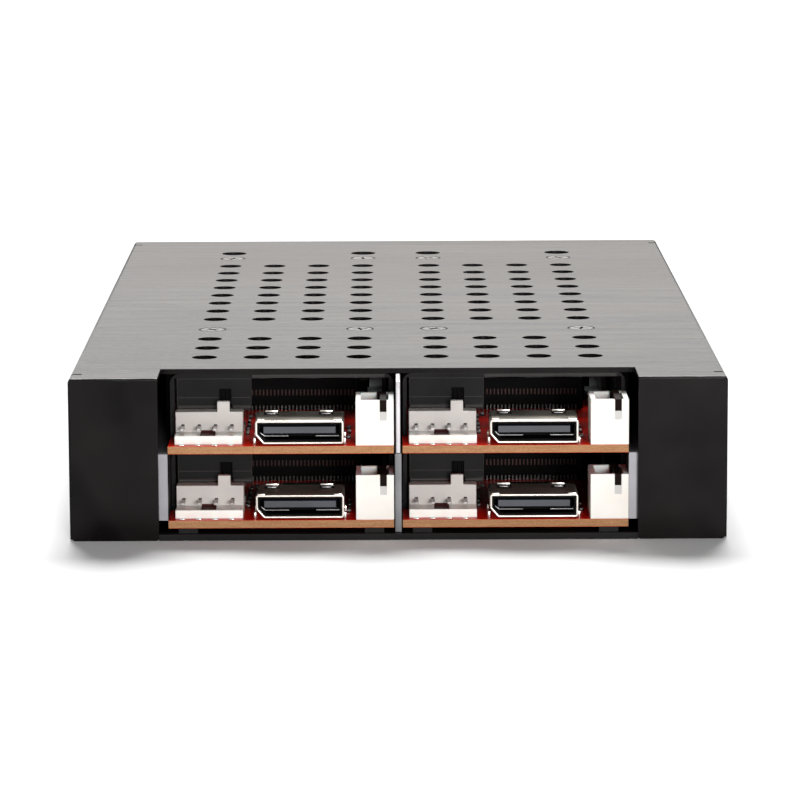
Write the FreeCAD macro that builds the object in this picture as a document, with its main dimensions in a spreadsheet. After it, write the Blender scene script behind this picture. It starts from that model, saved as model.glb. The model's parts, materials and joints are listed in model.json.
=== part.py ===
import FreeCAD, Part
import math
import os
import re
import Sketcher

# Four-bay hot swap drive cage that fills a 3.5 inch device bay.
# X runs across the cage, Y from the rear connectors to the front trays, Z up.
# Pieces are drawn with Y = 0 at the rear plane and moved back by half the depth,
# and the pieces of one bay are drawn about its middle, with Z = 0 on top of its rear board.

doc = FreeCAD.newDocument("drive_cage")

# Driving sizes, in millimetres
SIZES = [
    ("cage_width", 101.6, "outside width, that of a 3.5 inch drive"),
    ("cage_height", 25.4, "outside height"),
    ("cage_length", 170.0, "length of the cover"),
    ("cover_wall", 0.8, "sheet of the cover"),
    ("cover_skirt", 1.95, "lower edge of the cover's sides above the base"),
    ("cover_round", 0.8, "bend along the cover's long edges"),
    ("skirt_round", 1.4, "lower rear corner of the cover's sides"),
    ("flange_round", 0.5, "lower corners of the rear flanges"),
    ("edge_round", 0.3, "small rounding of bent edges"),
    ("rear_opening", 74.0, "opening between the rear flanges"),
    ("wing_inset", 0.4, "rear flange short of the cover's side"),
    ("notch_depth", 9.5, "depth of the notch in the cover's rear edge"),
    ("slit_start", 4.2, "bend relief slit from the rear and the front edge"),
    ("slit_width", 0.8, "width of a bend relief slit"),
    ("slit_reach", 1.9, "length of a bend relief slit"),
    ("vent_radius", 2.0, "vent hole"),
    ("vent_first_x", 6.13, "first vent column from the middle"),
    ("vent_pitch_x", 8.16, "vent column pitch"),
    ("vent_pitch_y", 9.9, "vent row pitch"),
    ("vent_columns", 4, "vent columns over each bay"),
    ("rear_vents_y", 21.5, "first row of the rear vents"),
    ("rear_vent_rows", 3, "rows of the rear vents"),
    ("front_vents_y", 63.8, "first row of the front vents"),
    ("front_vent_margin", 36.0, "cover without vents at its front"),
    ("screw_rear_y", 52.0, "rear row of cover screws"),
    ("screw_front_inset", 26.0, "front row of cover screws from the cover's front edge"),
    ("tool_hole_inset", 18.5, "row of larger holes from the cover's front edge"),
    ("tool_hole_radius", 2.35, "larger hole"),
    ("screw_head_radius", 2.3, "countersunk head"),
    ("screw_radius", 1.25, "screw shank"),
    ("screw_length", 2.5, "cover screw from end to end"),
    ("base_screw_length", 3.6, "base screw from end to end"),
    ("screw_gap", 0.05, "clearance round a screw"),
    ("floor_wall", 1.0, "base plate"),
    ("fit_gap", 0.1, "clearance between the plates and the cover's sides"),
    ("standoff", 0.75, "height of the runners on the base plate"),
    ("runner_width", 3.0, "runner"),
    ("bay_pitch", 36.25, "left bay to right bay"),
    ("level_pitch", 11.65, "lower board to upper board"),
    ("board_width", 34.9, "rear board"),
    ("board_wall", 1.25, "thickness of the rear board"),
    ("board_setback", 1.0, "rear board from the rear plane"),
    ("board_length", 43.2, "length of the rear board"),
    ("board_screw_x", 14.4, "board screw from the middle of its bay"),
    ("board_screw_y", 28.0, "board screw from the rear plane"),
    ("board_screw_radius", 0.9, "shank of the board screw"),
    ("board_head_radius", 1.6, "head of the board screw"),
    ("board_head_height", 1.0, "head of the board screw"),
    ("rail_wall", 1.4, "inner web of the side rails"),
    ("rail_flange", 1.4, "top flange of the side rails"),
    ("rail_outer", 3.5, "outer web of the side rails"),
    ("rail_foot", 3.2, "foot of the lower side rails above the base plate"),
    ("rail_foot_width", 10.7, "foot of the lower side rails"),
    ("rail_lip", 4.4, "part of the foot that reaches down beside the base plate"),
    ("rail_setback", 1.0, "lower side rail from the rear plane"),
    ("upper_rail_start", 25.0, "upper side rail from the rear plane"),
    ("tap_radius", 1.25, "core of the M3 mounting threads"),
    ("side_hole_z", 6.35, "side mounting holes above the base"),
    ("side_hole_rear", 28.5, "rear side mounting hole from the rear plane"),
    ("side_hole_middle", 70.11, "middle side mounting hole from the rear plane"),
    ("side_hole_front", 130.1, "front side mounting hole from the rear plane"),
    ("base_hole_inset", 3.175, "base mounting holes from the cage's sides"),
    ("base_hole_rear", 41.28, "rear base mounting holes from the rear plane"),
    ("base_hole_front", 85.73, "front base mounting holes from the rear plane"),
    ("clear_radius", 1.7, "clearance hole over a mounting thread"),
    ("base_screw_inset", 8.8, "base screws from the cage's sides"),
    ("base_screw_end", 12.0, "base screws from the cage's ends"),
    ("divider_lower", 1.08, "lower centre divider"),
    ("divider_upper", 0.7, "upper centre divider"),
    ("divider_setback", 1.0, "dividers from the rear plane"),
    ("sleeve_width", 34.8, "sleeve of a bay"),
    ("sleeve_wall", 0.7, "sheet of a sleeve"),
    ("sleeve_round", 1.5, "upper corners of a sleeve"),
    ("sleeve_start", 9.6, "sleeve from the rear plane"),
    ("flap_left", 16.35, "left edge of the flap from the middle of the bay"),
    ("flap_right", 4.7, "right edge of the flap from the middle of the bay"),
    ("flap_bottom", 5.3, "lower edge of the flap above the board"),
    ("flap_notch_left", 9.75, "left edge of the flap's notch"),
    ("flap_notch_right", 7.85, "right edge of the flap's notch"),
    ("flap_notch_top", 7.6, "top of the flap's notch above the board"),
    ("lip_radius", 0.48, "rolled lip below the flap"),
    ("roof_slot_width", 4.8, "slot in the roof under a column of vents"),
    ("shelf_wall", 0.8, "shelf between the levels"),
    ("frame_depth", 2.0, "front frame"),
    ("window_gap", 0.35, "clearance of a tray in its window"),
    ("frame_slot_width", 1.6, "air slot at the side of the front frame"),
    ("frame_slot_pitch", 3.0, "air slots at the side of the front frame"),
    ("frame_slot_inset", 4.8, "outer air slot from the cage's sides"),
    ("frame_slots", 3, "air slots on each side"),
    ("frame_slot_margin", 4.5, "air slot short of the frame's top and bottom"),
    ("header_left", 16.45, "left end of the power header from the middle of the bay"),
    ("header_width", 10.5, "power header"),
    ("header_front", 2.4, "power header from the rear plane"),
    ("header_shelf_depth", 3.85, "shelf of the power header"),
    ("header_shelf_height", 1.35, "shelf of the power header"),
    ("header_wall_depth", 2.9, "wall of the power header"),
    ("header_height", 4.5, "wall of the power header"),
    ("header_window_left", 12.55, "left edge of the window in the shelf"),
    ("header_window_right", 10.2, "right edge of the window in the shelf"),
    ("header_window_lip", 0.3, "shelf left in front of the window"),
    ("latch_left", 9.95, "left edge of the header's latch tab"),
    ("latch_width", 1.95, "latch tab"),
    ("latch_height", 6.1, "latch tab above the board"),
    ("latch_depth", 1.2, "latch tab"),
    ("pin_first", 15.45, "first power pin from the middle of the bay"),
    ("pin_pitch", 2.54, "power pins"),
    ("pin_count", 4, "power pins"),
    ("pin_side", 0.64, "square pin"),
    ("pin_reach", 3.1, "power pin out of the wall"),
    ("pin_height", 2.05, "power pins above the board"),
    ("shell_left", 3.95, "left side of the data receptacle from the middle of the bay"),
    ("shell_width", 13.7, "data receptacle"),
    ("shell_height", 3.7, "data receptacle"),
    ("shell_lift", 0.12, "data receptacle above the board"),
    ("shell_front", 1.6, "data receptacle from the rear plane"),
    ("shell_depth", 9.0, "data receptacle"),
    ("shell_wall", 0.4, "metal shell"),
    ("shell_chamfer_x", 1.25, "keying corner of the shell, across"),
    ("shell_chamfer_z", 1.45, "keying corner of the shell, up"),
    ("shell_round", 0.6, "other corners of the shell"),
    ("shell_foot_width", 0.35, "solder foot of the shell"),
    ("shell_foot_height", 1.0, "solder foot of the shell"),
    ("shell_foot_start", 0.6, "first solder foot behind the shell's mouth"),
    ("shell_foot_length", 1.2, "solder foot along the shell"),
    ("shell_foot_pitch", 5.4, "front to rear solder foot"),
    ("insert_recess", 4.2, "insert body behind the shell's mouth"),
    ("insert_gap", 0.05, "insert in the shell"),
    ("tongue_recess", 0.8, "tongue behind the shell's mouth"),
    ("tongue_left", 1.25, "tongue from the shell's left side"),
    ("tongue_width", 11.2, "tongue"),
    ("tongue_height", 1.1, "tongue"),
    ("tongue_lift", 1.7, "tongue above the board"),
    ("fan_left", 11.35, "left side of the fan header from the middle of the bay"),
    ("fan_width", 5.75, "fan header"),
    ("fan_front", 0.9, "fan header from the rear plane"),
    ("fan_depth", 7.4, "fan header"),
    ("fan_height", 7.05, "fan header"),
    ("fan_wall", 0.8, "walls of the fan header"),
    ("fan_floor", 1.2, "floor of the fan header"),
    ("fan_slot_left", 3.65, "slot from the fan header's left side"),
    ("fan_slot_width", 1.0, "slot in the fan header's end wall"),
    ("fan_slot_depth", 3.1, "slot in the fan header's end wall"),
    ("fan_pin_height", 5.6, "fan pins above the board"),
    ("fan_pin_pitch", 2.5, "fan pins"),
    ("comb_width", 23.8, "bay connector"),
    ("comb_start", 35.0, "bay connector from the rear plane"),
    ("comb_depth", 7.6, "bay connector"),
    ("comb_height", 5.2, "bay connector"),
    ("comb_slot_depth", 4.3, "slot of the bay connector"),
    ("comb_slot_lift", 1.85, "slot above the board"),
    ("comb_slot_height", 1.6, "slot of the bay connector"),
    ("comb_slot_width", 22.2, "slot of the bay connector"),
    ("slide_gap", 0.3, "tray in its sleeve, each side"),
    ("run_gap", 0.2, "tray above its runners"),
    ("tray_height", 9.5, "tray"),
    ("tray_wall", 0.8, "sheet of the tray"),
    ("tray_start", 44.9, "tray from the rear plane"),
    ("tray_low_wall", 6.2, "side walls in the middle of the tray"),
    ("tray_low_start", 16.0, "high part of the side walls at the rear"),
    ("tray_low_stop", 14.0, "high part of the side walls at the front"),
    ("tray_slope", 4.0, "slope between high and low side walls"),
    ("tray_slot_width", 3.4, "air slot in the tray's floor"),
    ("tray_slot_length", 11.0, "air slot in the tray's floor"),
    ("tray_slot_pitch", 15.0, "air slots along the tray"),
    ("tray_slot_first", 17.0, "first air slot from the tray's rear"),
    ("tray_slot_rows", 6, "air slots along the tray"),
    ("tray_slot_x", 9.5, "air slots from the middle"),
    ("tray_flange", 1.0, "front flange of the tray"),
    ("tray_flange_rim", 1.2, "flange left round its window"),
    ("guide_stem_width", 1.8, "stem of the clip's guide"),
    ("guide_stem_height", 0.6, "stem of the clip's guide"),
    ("guide_head_width", 3.6, "head of the clip's guide"),
    ("guide_head_height", 0.6, "head of the clip's guide"),
    ("guide_end_gap", 3.3, "clip's guide short of the bezel"),
    ("guide_length", 44.0, "clip's guide"),
    ("clip_gap", 0.08, "clip on its guide"),
    ("clip_width", 8.0, "clip"),
    ("clip_length", 6.0, "clip"),
    ("clip_base", 3.3, "base of the clip above the tray's floor"),
    ("clip_end_gap", 5.8, "clip short of the bezel, set for the longest drive"),
    ("clip_post", 3.0, "post of the clip"),
    ("clip_notch_depth", 1.4, "notch that takes the drive's end"),
    ("clip_top", 7.9, "top of the clip above the tray's floor"),
    ("drive_wall", 0.8, "thickness of a drive's board"),
    ("drive_lift", 5.6, "drive's board above the tray's floor"),
    ("carrier_lift", 2.3, "carrier board above the tray's floor"),
    ("carrier_wall", 1.2, "carrier board"),
    ("carrier_width", 27.0, "carrier board"),
    ("carrier_length", 12.4, "carrier board inside the tray"),
    ("tongue_tip_gap", 0.3, "edge contacts short of the slot's bottom"),
    ("edge_width", 21.8, "edge contacts"),
    ("socket_width", 22.0, "drive socket"),
    ("socket_depth", 6.8, "drive socket"),
    ("socket_height", 4.0, "drive socket"),
    ("socket_start", 0.5, "drive socket from the tray's rear"),
    ("socket_slot_width", 20.2, "slot of the drive socket"),
    ("socket_slot_depth", 4.2, "slot of the drive socket"),
    ("socket_slot_height", 1.0, "slot of the drive socket"),
    ("boss_radius", 1.8, "boss under the carrier board"),
    ("boss_x", 11.4, "boss from the middle"),
    ("boss_y", 9.6, "boss from the tray's rear"),
    ("bezel_gap", 0.2, "bezel in front of the front frame"),
    ("bezel_width", 35.8, "bezel"),
    ("bezel_height", 11.3, "bezel"),
    ("bezel_depth", 4.2, "bezel"),
    ("bezel_plate", 1.4, "plate at the back of the bezel"),
    ("bezel_round", 0.6, "corners of the bezel"),
    ("recess_left", 16.2, "left end of the bezel's recess from the middle"),
    ("recess_right", 15.8, "right end of the bezel's recess from the middle"),
    ("recess_height", 7.8, "recess of the bezel"),
    ("bezel_vent_width", 1.2, "air slot in the bezel"),
    ("bezel_vent_height", 5.0, "air slot in the bezel"),
    ("lever_vent_width", 1.2, "air slot in the lever"),
    ("lever_vent_height", 4.4, "air slot in the lever"),
    ("bezel_vent_pitch", 2.6, "air slots"),
    ("bezel_vent_first", 9.4, "first air slot left of the middle"),
    ("bezel_vents", 6, "air slots"),
    ("lever_axis_x", 14.2, "lever's axis left of the middle"),
    ("lever_axis_y", 1.5, "lever's axis in front of the recess's floor"),
    ("lever_hub", 1.3, "lever's hub"),
    ("lever_end", 8.8, "lever's free end right of the middle"),
    ("lever_height", 7.2, "lever"),
    ("lever_lift", 0.4, "lever in front of the recess's floor"),
    ("lever_depth", 3.2, "lever"),
    ("lever_crown", 90.0, "curve of the lever's face"),
    ("lever_round", 0.5, "edges of the lever's free end"),
    ("grip_width", 1.4, "grip groove at the lever's end"),
    ("grip_depth", 0.6, "grip groove at the lever's end"),
    ("pivot_radius", 0.8, "lever's pivots"),
    ("pivot_reach", 1.2, "lever's pivots"),
    ("pivot_gap", 0.06, "pivots in their holes"),
    ("pivot_end_gap", 0.2, "pivots short of their holes' ends"),
    ("button_left", 9.3, "button from the middle"),
    ("button_width", 6.2, "button"),
    ("button_height", 7.2, "button"),
    ("button_back", 1.5, "button's cap in front of the recess's floor"),
    ("button_depth", 2.0, "button's cap"),
    ("button_round", 0.5, "edges of the button"),
    ("stem_width", 2.4, "button's stem"),
    ("stem_gap", 0.25, "stem in its hole"),
    ("stem_head", 3.6, "head behind the bezel"),
    ("stem_head_depth", 0.8, "head behind the bezel"),
    ("head_gap", 0.2, "head behind the bezel"),
]

sheet = doc.addObject("Spreadsheet::Sheet", "Sizes")
for row, (alias, value, note) in enumerate(SIZES, start=1):
    sheet.set(f"A{row}", note)
    sheet.set(f"B{row}", str(value))
    sheet.setAlias(f"B{row}", alias)
doc.recompute()

# Places and sizes worked out from the driving ones
DERIVED = {
    "half_width": "cage_width / 2",
    "half_opening": "rear_opening / 2",
    "ceiling": "cage_height - cover_wall",
    "side_inner": "half_width - cover_wall",
    "plate_half": "side_inner - fit_gap",
    "board_top": "floor_wall + standoff + board_wall",
    "rail_top": "board_top + level_pitch - board_wall",
    "shelf_bottom": "rail_top - shelf_wall",
    "rail_face": "half_opening - rail_wall",
    "frame_back": "cage_length - frame_depth",
    "sleeve_half": "sleeve_width / 2",
    "tray_half": "sleeve_half - sleeve_wall - slide_gap",
    "tray_bottom": "run_gap - board_wall",
    "tray_floor": "tray_bottom + tray_wall",
    "tray_top": "tray_bottom + tray_height",
    "tray_middle": "tray_bottom + tray_height / 2",
    "bezel_back": "cage_length + bezel_gap",
    "bezel_front": "bezel_back + bezel_depth",
    "recess_floor": "bezel_back + bezel_plate",
    "lever_back": "recess_floor + lever_lift",
    "lever_front": "lever_back + lever_depth",
    "axis_y": "recess_floor + lever_axis_y",
    "rear_y": "-lever_front / 2",
    "header_wall_y": "header_front + header_shelf_depth",
    "comb_face": "comb_start + comb_depth",
    "base_hole_x": "half_width - base_hole_inset",
    "base_screw_x": "half_width - base_screw_inset",
    "floor_half": "plate_half - rail_lip - fit_gap",
    "screw_front_y": "cage_length - screw_front_inset",
    "tool_hole_y": "cage_length - tool_hole_inset",
    "guide_start": "bezel_back - guide_end_gap - guide_length",
    "clip_start": "bezel_back - clip_end_gap - clip_length",
    "screw_near_x": "vent_first_x",
    "screw_far_x": "vent_first_x + (vent_columns - 1) * vent_pitch_x",
    "carrier_z": "tray_floor + carrier_lift",
    "drive_z": "tray_floor + drive_lift",
}
NUMBERS = {alias: value for alias, value, note in SIZES}
WORD = re.compile(r"[a-z][a-z0-9_]*")


def expand(rule):
    """Rule with its derived names worked out and its sizes read from the sheet."""
    def swap(match):
        name = match.group(0)
        if name in DERIVED:
            return "(" + expand(DERIVED[name]) + ")"
        if name in NUMBERS:
            return "Sizes." + name
        return name
    return WORD.sub(swap, str(rule))


def measure(rule):
    """Number that a rule gives with the sizes as they are."""
    def swap(match):
        name = match.group(0)
        if name in DERIVED:
            return "(" + WORD.sub(swap, DERIVED[name]) + ")"
        return f"({NUMBERS[name]})" if name in NUMBERS else name
    return FreeCAD.Units.Quantity(WORD.sub(swap, str(rule))).Value


def bind(item, prop, rule):
    """Ties a property to a rule."""
    item.setExpression(prop, expand(rule))


def block(name, x, y, z):
    """Box between two corners, each side given as a pair of rules."""
    item = doc.addObject("Part::Box", name)
    for prop, axis, (low, high) in (("Length", "x", x), ("Width", "y", y), ("Height", "z", z)):
        bind(item, prop, f"({high}) - ({low})")
        bind(item, f"Placement.Base.{axis}", low)
    return item


TURNS = {
    "x": FreeCAD.Rotation(FreeCAD.Vector(0, 1, 0), 90),
    "y": FreeCAD.Rotation(FreeCAD.Vector(1, 0, 0), -90),
    "z": FreeCAD.Rotation(),
}


def rod(name, axis, start, radius, length):
    """Cylinder from a start point along an axis."""
    item = doc.addObject("Part::Cylinder", name)
    item.Placement = FreeCAD.Placement(FreeCAD.Vector(), TURNS[axis])
    bind(item, "Radius", radius)
    bind(item, "Height", length)
    for letter, rule in zip("xyz", start):
        bind(item, f"Placement.Base.{letter}", rule)
    return item


def facet_rod(name, start, radius, length, sides):
    """Upright prism in place of a small round one, with the rod's radius at its corners."""
    item = doc.addObject("Part::Prism", name)
    item.Polygon = sides
    bind(item, "Circumradius", radius)
    bind(item, "Height", length)
    for letter, rule in zip("xyz", start):
        bind(item, f"Placement.Base.{letter}", rule)
    return item


def cone(name, start, low_radius, high_radius, height):
    """Upright cone from a start point."""
    item = doc.addObject("Part::Cone", name)
    bind(item, "Radius1", low_radius)
    bind(item, "Radius2", high_radius)
    bind(item, "Height", height)
    for letter, rule in zip("xyz", start):
        bind(item, f"Placement.Base.{letter}", rule)
    return item


def fuse(name, pieces):
    """One solid from several that touch or overlap."""
    item = doc.addObject("Part::MultiFuse", name)
    item.Shapes = pieces
    item.Refine = True
    return item


def group(name, pieces):
    """Separate solids kept together."""
    item = doc.addObject("Part::Compound", name)
    item.Links = pieces
    return item


def cut(name, base, tools):
    """Base with every tool taken out of it."""
    item = doc.addObject("Part::Cut", name)
    item.Base = base
    item.Tool = tools[0] if len(tools) == 1 else group(name + "_tools", tools)
    return item


PLANES = {
    "XY": ("XY_Plane", 1, False),
    "XZ": ("XZ_Plane", -1, True),
    "YZ": ("YZ_Plane", 1, False),
}


def origin_plane(body, role):
    """One of the body's own origin planes."""
    return [item for item in body.Origin.OriginFeatures if item.Role == role][0]


def sketch_on(body, name, plane, offset):
    """Empty sketch on one of the body's planes, moved along the plane's axis."""
    role, sign, _ = PLANES[plane]
    sketch = body.newObject("Sketcher::SketchObject", name)
    sketch.AttachmentSupport = [(origin_plane(body, role), "")]
    sketch.MapMode = "FlatFace"
    bind(sketch, "AttachmentOffset.Base.z", f"{sign} * ({offset})")
    return sketch


def pin_point(sketch, geometry, end, point):
    """Holds one point of a sketch at a pair of rules."""
    for kind, rule in zip(("DistanceX", "DistanceY"), point):
        number = measure(rule)
        index = sketch.addConstraint(Sketcher.Constraint(kind, -1, 1, geometry, end, number))
        sketch.setExpression(f"Constraints[{index}]", expand(rule))


def add_outline(sketch, points):
    """Closed outline of straight sides through the points."""
    places = [FreeCAD.Vector(measure(x), measure(y), 0) for x, y in points]
    first = sketch.GeometryCount
    count = len(points)
    for index in range(count):
        sketch.addGeometry(Part.LineSegment(places[index], places[(index + 1) % count]), False)
    for index in range(count):
        after = first + (index + 1) % count
        sketch.addConstraint(Sketcher.Constraint("Coincident", first + index, 2, after, 1))
    for index in range(count):
        pin_point(sketch, first + index, 1, points[index])


def pad(body, name, plane, span, outlines):
    """Raises closed outlines on a plane over a span given as a pair of rules."""
    start, stop = span
    sketch = sketch_on(body, name + "_outline", plane, start)
    for points in outlines:
        add_outline(sketch, points)
    feature = body.newObject("PartDesign::Pad", name)
    feature.Profile = sketch
    feature.Reversed = PLANES[plane][2]
    bind(feature, "Length", f"({stop}) - ({start})")
    return feature


def pocket(body, name, plane, span, outlines):
    """Cuts closed outlines on a plane over a span given as a pair of rules."""
    start, stop = span
    sketch = sketch_on(body, name + "_outline", plane, start)
    for points in outlines:
        add_outline(sketch, points)
    feature = body.newObject("PartDesign::Pocket", name)
    feature.Profile = sketch
    feature.Reversed = not PLANES[plane][2]
    bind(feature, "Length", f"({stop}) - ({start})")
    return feature


def rectangle(x, y):
    """Corners of a rectangle from two pairs of rules."""
    return [(x[0], y[0]), (x[1], y[0]), (x[1], y[1]), (x[0], y[1])]


def new_body(name):
    """Empty body."""
    return doc.addObject("PartDesign::Body", name)


def runs_along(edge, direction):
    """Whether an edge is straight and lies along a direction."""
    if edge.Curve.TypeId != "Part::GeomLine":
        return False
    return abs(abs(edge.Curve.Direction.dot(direction)) - 1) < 1e-6


def round_edges(body, name, radius, wanted):
    """Rounds the edges of the body's last feature that pass a test."""
    doc.recompute()
    base = body.Tip
    chosen = [f"Edge{index}" for index, edge in enumerate(base.Shape.Edges, start=1) if wanted(edge)]
    feature = body.newObject("PartDesign::Fillet", name)
    feature.Base = (base, chosen)
    bind(feature, "Radius", radius)
    return feature


def instance(name, master, x, y, z):
    """Copy of a drawn piece at its place in the cage."""
    item = doc.addObject("Part::Compound", name)
    item.Links = [master]
    item.Label = name
    for letter, rule in zip("xyz", (x, y, z)):
        bind(item, f"Placement.Base.{letter}", rule)
    return item


# The four bays, seen from the rear: side -1 is left and 1 is right, level 0 is lower and 1 is upper
SIDES = {"left": -1, "right": 1}
LEVELS = {"lower": 0, "upper": 1}
# Sides of the many small holes, and of the small screws and their holes inside
VENT_SIDES = 16
SCREW_SIDES = 12
# Distance within which an edge lies where it is looked for
NEAR = 0.01


def in_each_bay(name, masters):
    """Copies in all four bays of one piece, or of the piece that masters holds for each bay."""
    copies = []
    for level_name, level in LEVELS.items():
        for side_name, side in SIDES.items():
            bay = f"{level_name}_{side_name}"
            master = masters[bay] if isinstance(masters, dict) else masters
            copies.append(instance(f"{name}_{bay}", master, f"{side} * bay_pitch / 2", "rear_y",
                                   f"board_top + {level} * level_pitch"))
    return copies


def in_cage(name, master):
    """A piece drawn in the cage's own place."""
    return [instance(name, master, "0", "rear_y", "0")]


def screw_places(side):
    """Places of the countersunk cover screws over the bays of one side."""
    return [(f"{side} * {x}", y)
            for x in ("screw_near_x", "screw_far_x")
            for y in ("screw_rear_y", "screw_front_y")]


def base_screw_places(side):
    """Places of the screws that hold the base to the rail of one side."""
    return [(f"{side} * base_screw_x", y)
            for y in ("base_screw_end", "cage_length - base_screw_end")]


# Cover: a folded sheet with sides, rear flanges, notch, vents and countersunk holes
def make_top_cover():
    body = new_body("cover_sheet")
    pad(body, "cover_fold", "XZ", ("cover_wall", "cage_length"), [[
        ("-half_width", "cover_skirt"), ("-half_width", "cage_height"),
        ("half_width", "cage_height"), ("half_width", "cover_skirt"),
        ("side_inner", "cover_skirt"), ("side_inner", "ceiling"),
        ("-side_inner", "ceiling"), ("-side_inner", "cover_skirt")]])
    along_y = FreeCAD.Vector(0, 1, 0)
    top = measure("cage_height")
    edge = measure("half_width")
    round_edges(body, "cover_bends", "cover_round",
                lambda item: runs_along(item, along_y) and abs(item.CenterOfMass.z - top) < NEAR
                and abs(abs(item.CenterOfMass.x) - edge) < NEAR)
    skirt = measure("cover_skirt")
    along_x = FreeCAD.Vector(1, 0, 0)
    rear = measure("cover_wall")
    round_edges(body, "skirt_corners", "skirt_round",
                lambda item: runs_along(item, along_x) and abs(item.CenterOfMass.z - skirt) < NEAR
                and abs(item.CenterOfMass.y - rear) < NEAR)
    wings = []
    for side in SIDES.values():
        wings.append(rectangle((f"{side} * half_opening", f"{side} * (half_width - wing_inset)"),
                               ("0", "cage_height")))
    pad(body, "rear_flanges", "XZ", ("0", "cover_wall"), wings)
    round_edges(body, "flange_corners", "flange_round",
                lambda item: runs_along(item, along_y) and item.CenterOfMass.z < NEAR)
    round_edges(body, "flange_bends", "edge_round",
                lambda item: runs_along(item, along_x) and abs(item.CenterOfMass.y) < NEAR
                and abs(item.CenterOfMass.z - top) < NEAR)
    pocket(body, "rear_notch", "XY", ("ceiling - 0.1 * cover_wall", "cage_height + cover_wall"), [
        rectangle(("-half_opening", "half_opening"), ("-cover_wall", "notch_depth"))])
    slits = []
    for side in SIDES.values():
        for near, far in (("slit_start", "slit_start + slit_width"),
                          ("cage_length - slit_start - slit_width", "cage_length - slit_start")):
            slits.append(rectangle((f"{side} * (half_width - slit_reach)",
                                    f"{side} * (half_width + cover_wall)"), (near, far)))
    pocket(body, "bend_reliefs", "XY", ("ceiling", "cage_height + cover_wall"), slits)
    tools = make_vents()
    for side_name, side in SIDES.items():
        for index, (x, y) in enumerate(screw_places(side)):
            tools.append(cone(f"cover_sink_{side_name}_{index}", (x, y, "ceiling"),
                              "screw_radius + screw_gap", "screw_head_radius + screw_gap", "cover_wall"))
        for index, x in enumerate(("screw_near_x", "screw_far_x")):
            tools.append(facet_rod(f"tool_hole_{side_name}_{index}",
                                   (f"{side} * {x}", "tool_hole_y", "ceiling - cover_wall"),
                                   "tool_hole_radius", "3 * cover_wall", VENT_SIDES))
    for index, y in enumerate(("side_hole_rear", "side_hole_middle", "side_hole_front")):
        tools.append(rod(f"cover_side_hole_{index}", "x", ("-half_width - cover_wall", y, "side_hole_z"),
                         "clear_radius", "cage_width + 2 * cover_wall"))
    return in_cage("top_cover", cut("cover_pierced", body, tools))


def vent_fields():
    """Name, first row and number of rows of the rear and the front vents."""
    room = measure("cage_length - front_vent_margin - front_vents_y")
    return (("rear", "rear_vents_y", int(measure("rear_vent_rows"))),
            ("front", "front_vents_y", int(room / measure("vent_pitch_y")) + 1))


def make_vents():
    """Rods that cut both fields of vents over the bays of both sides."""
    vents = []
    for field, first, rows in vent_fields():
        for side_name, side in SIDES.items():
            for column in range(int(measure("vent_columns"))):
                for row in range(rows):
                    vents.append(facet_rod(f"{field}_vent_{side_name}_{column}_{row}",
                                           (f"{side} * (vent_first_x + {column} * vent_pitch_x)",
                                            f"{first} + {row} * vent_pitch_y", "ceiling - cover_wall"),
                                           "vent_radius", "3 * cover_wall", VENT_SIDES))
    return vents


# Base plate with raised runners under the boards and trays
def make_base_plate():
    thick = ("0", "floor_wall")
    pieces = [block("base_middle", ("-half_opening", "half_opening"), ("0", "cage_length"), thick),
              block("base_sides", ("-floor_half", "floor_half"), ("cover_wall + fit_gap", "cage_length"),
                    thick)]
    for side_name, side in SIDES.items():
        for hand in (-1, 1):
            middle = f"{side} * bay_pitch / 2 + {hand} * board_screw_x"
            pieces.append(block(f"runner_{side_name}_{hand + 1}",
                                (f"{middle} - runner_width / 2", f"{middle} + runner_width / 2"),
                                ("board_setback", "frame_back"), ("floor_wall", "floor_wall + standoff")))
    tools = []
    for side_name, side in SIDES.items():
        for index, (x, y) in enumerate(base_screw_places(side)):
            tools.append(cone(f"base_sink_{side_name}_{index}", (x, y, "0"), "screw_head_radius + screw_gap",
                              "screw_radius + screw_gap", "floor_wall"))
        for hand in (-1, 1):
            tools.append(facet_rod(f"base_board_hole_{side_name}_{hand + 1}",
                                   (f"{side} * bay_pitch / 2 + {hand} * board_screw_x", "board_screw_y",
                                    "-floor_wall"), "board_screw_radius + screw_gap", "4 * floor_wall",
                                   SCREW_SIDES))
    return in_cage("base_plate", cut("base_pierced", fuse("base_raised", pieces), tools))


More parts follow.
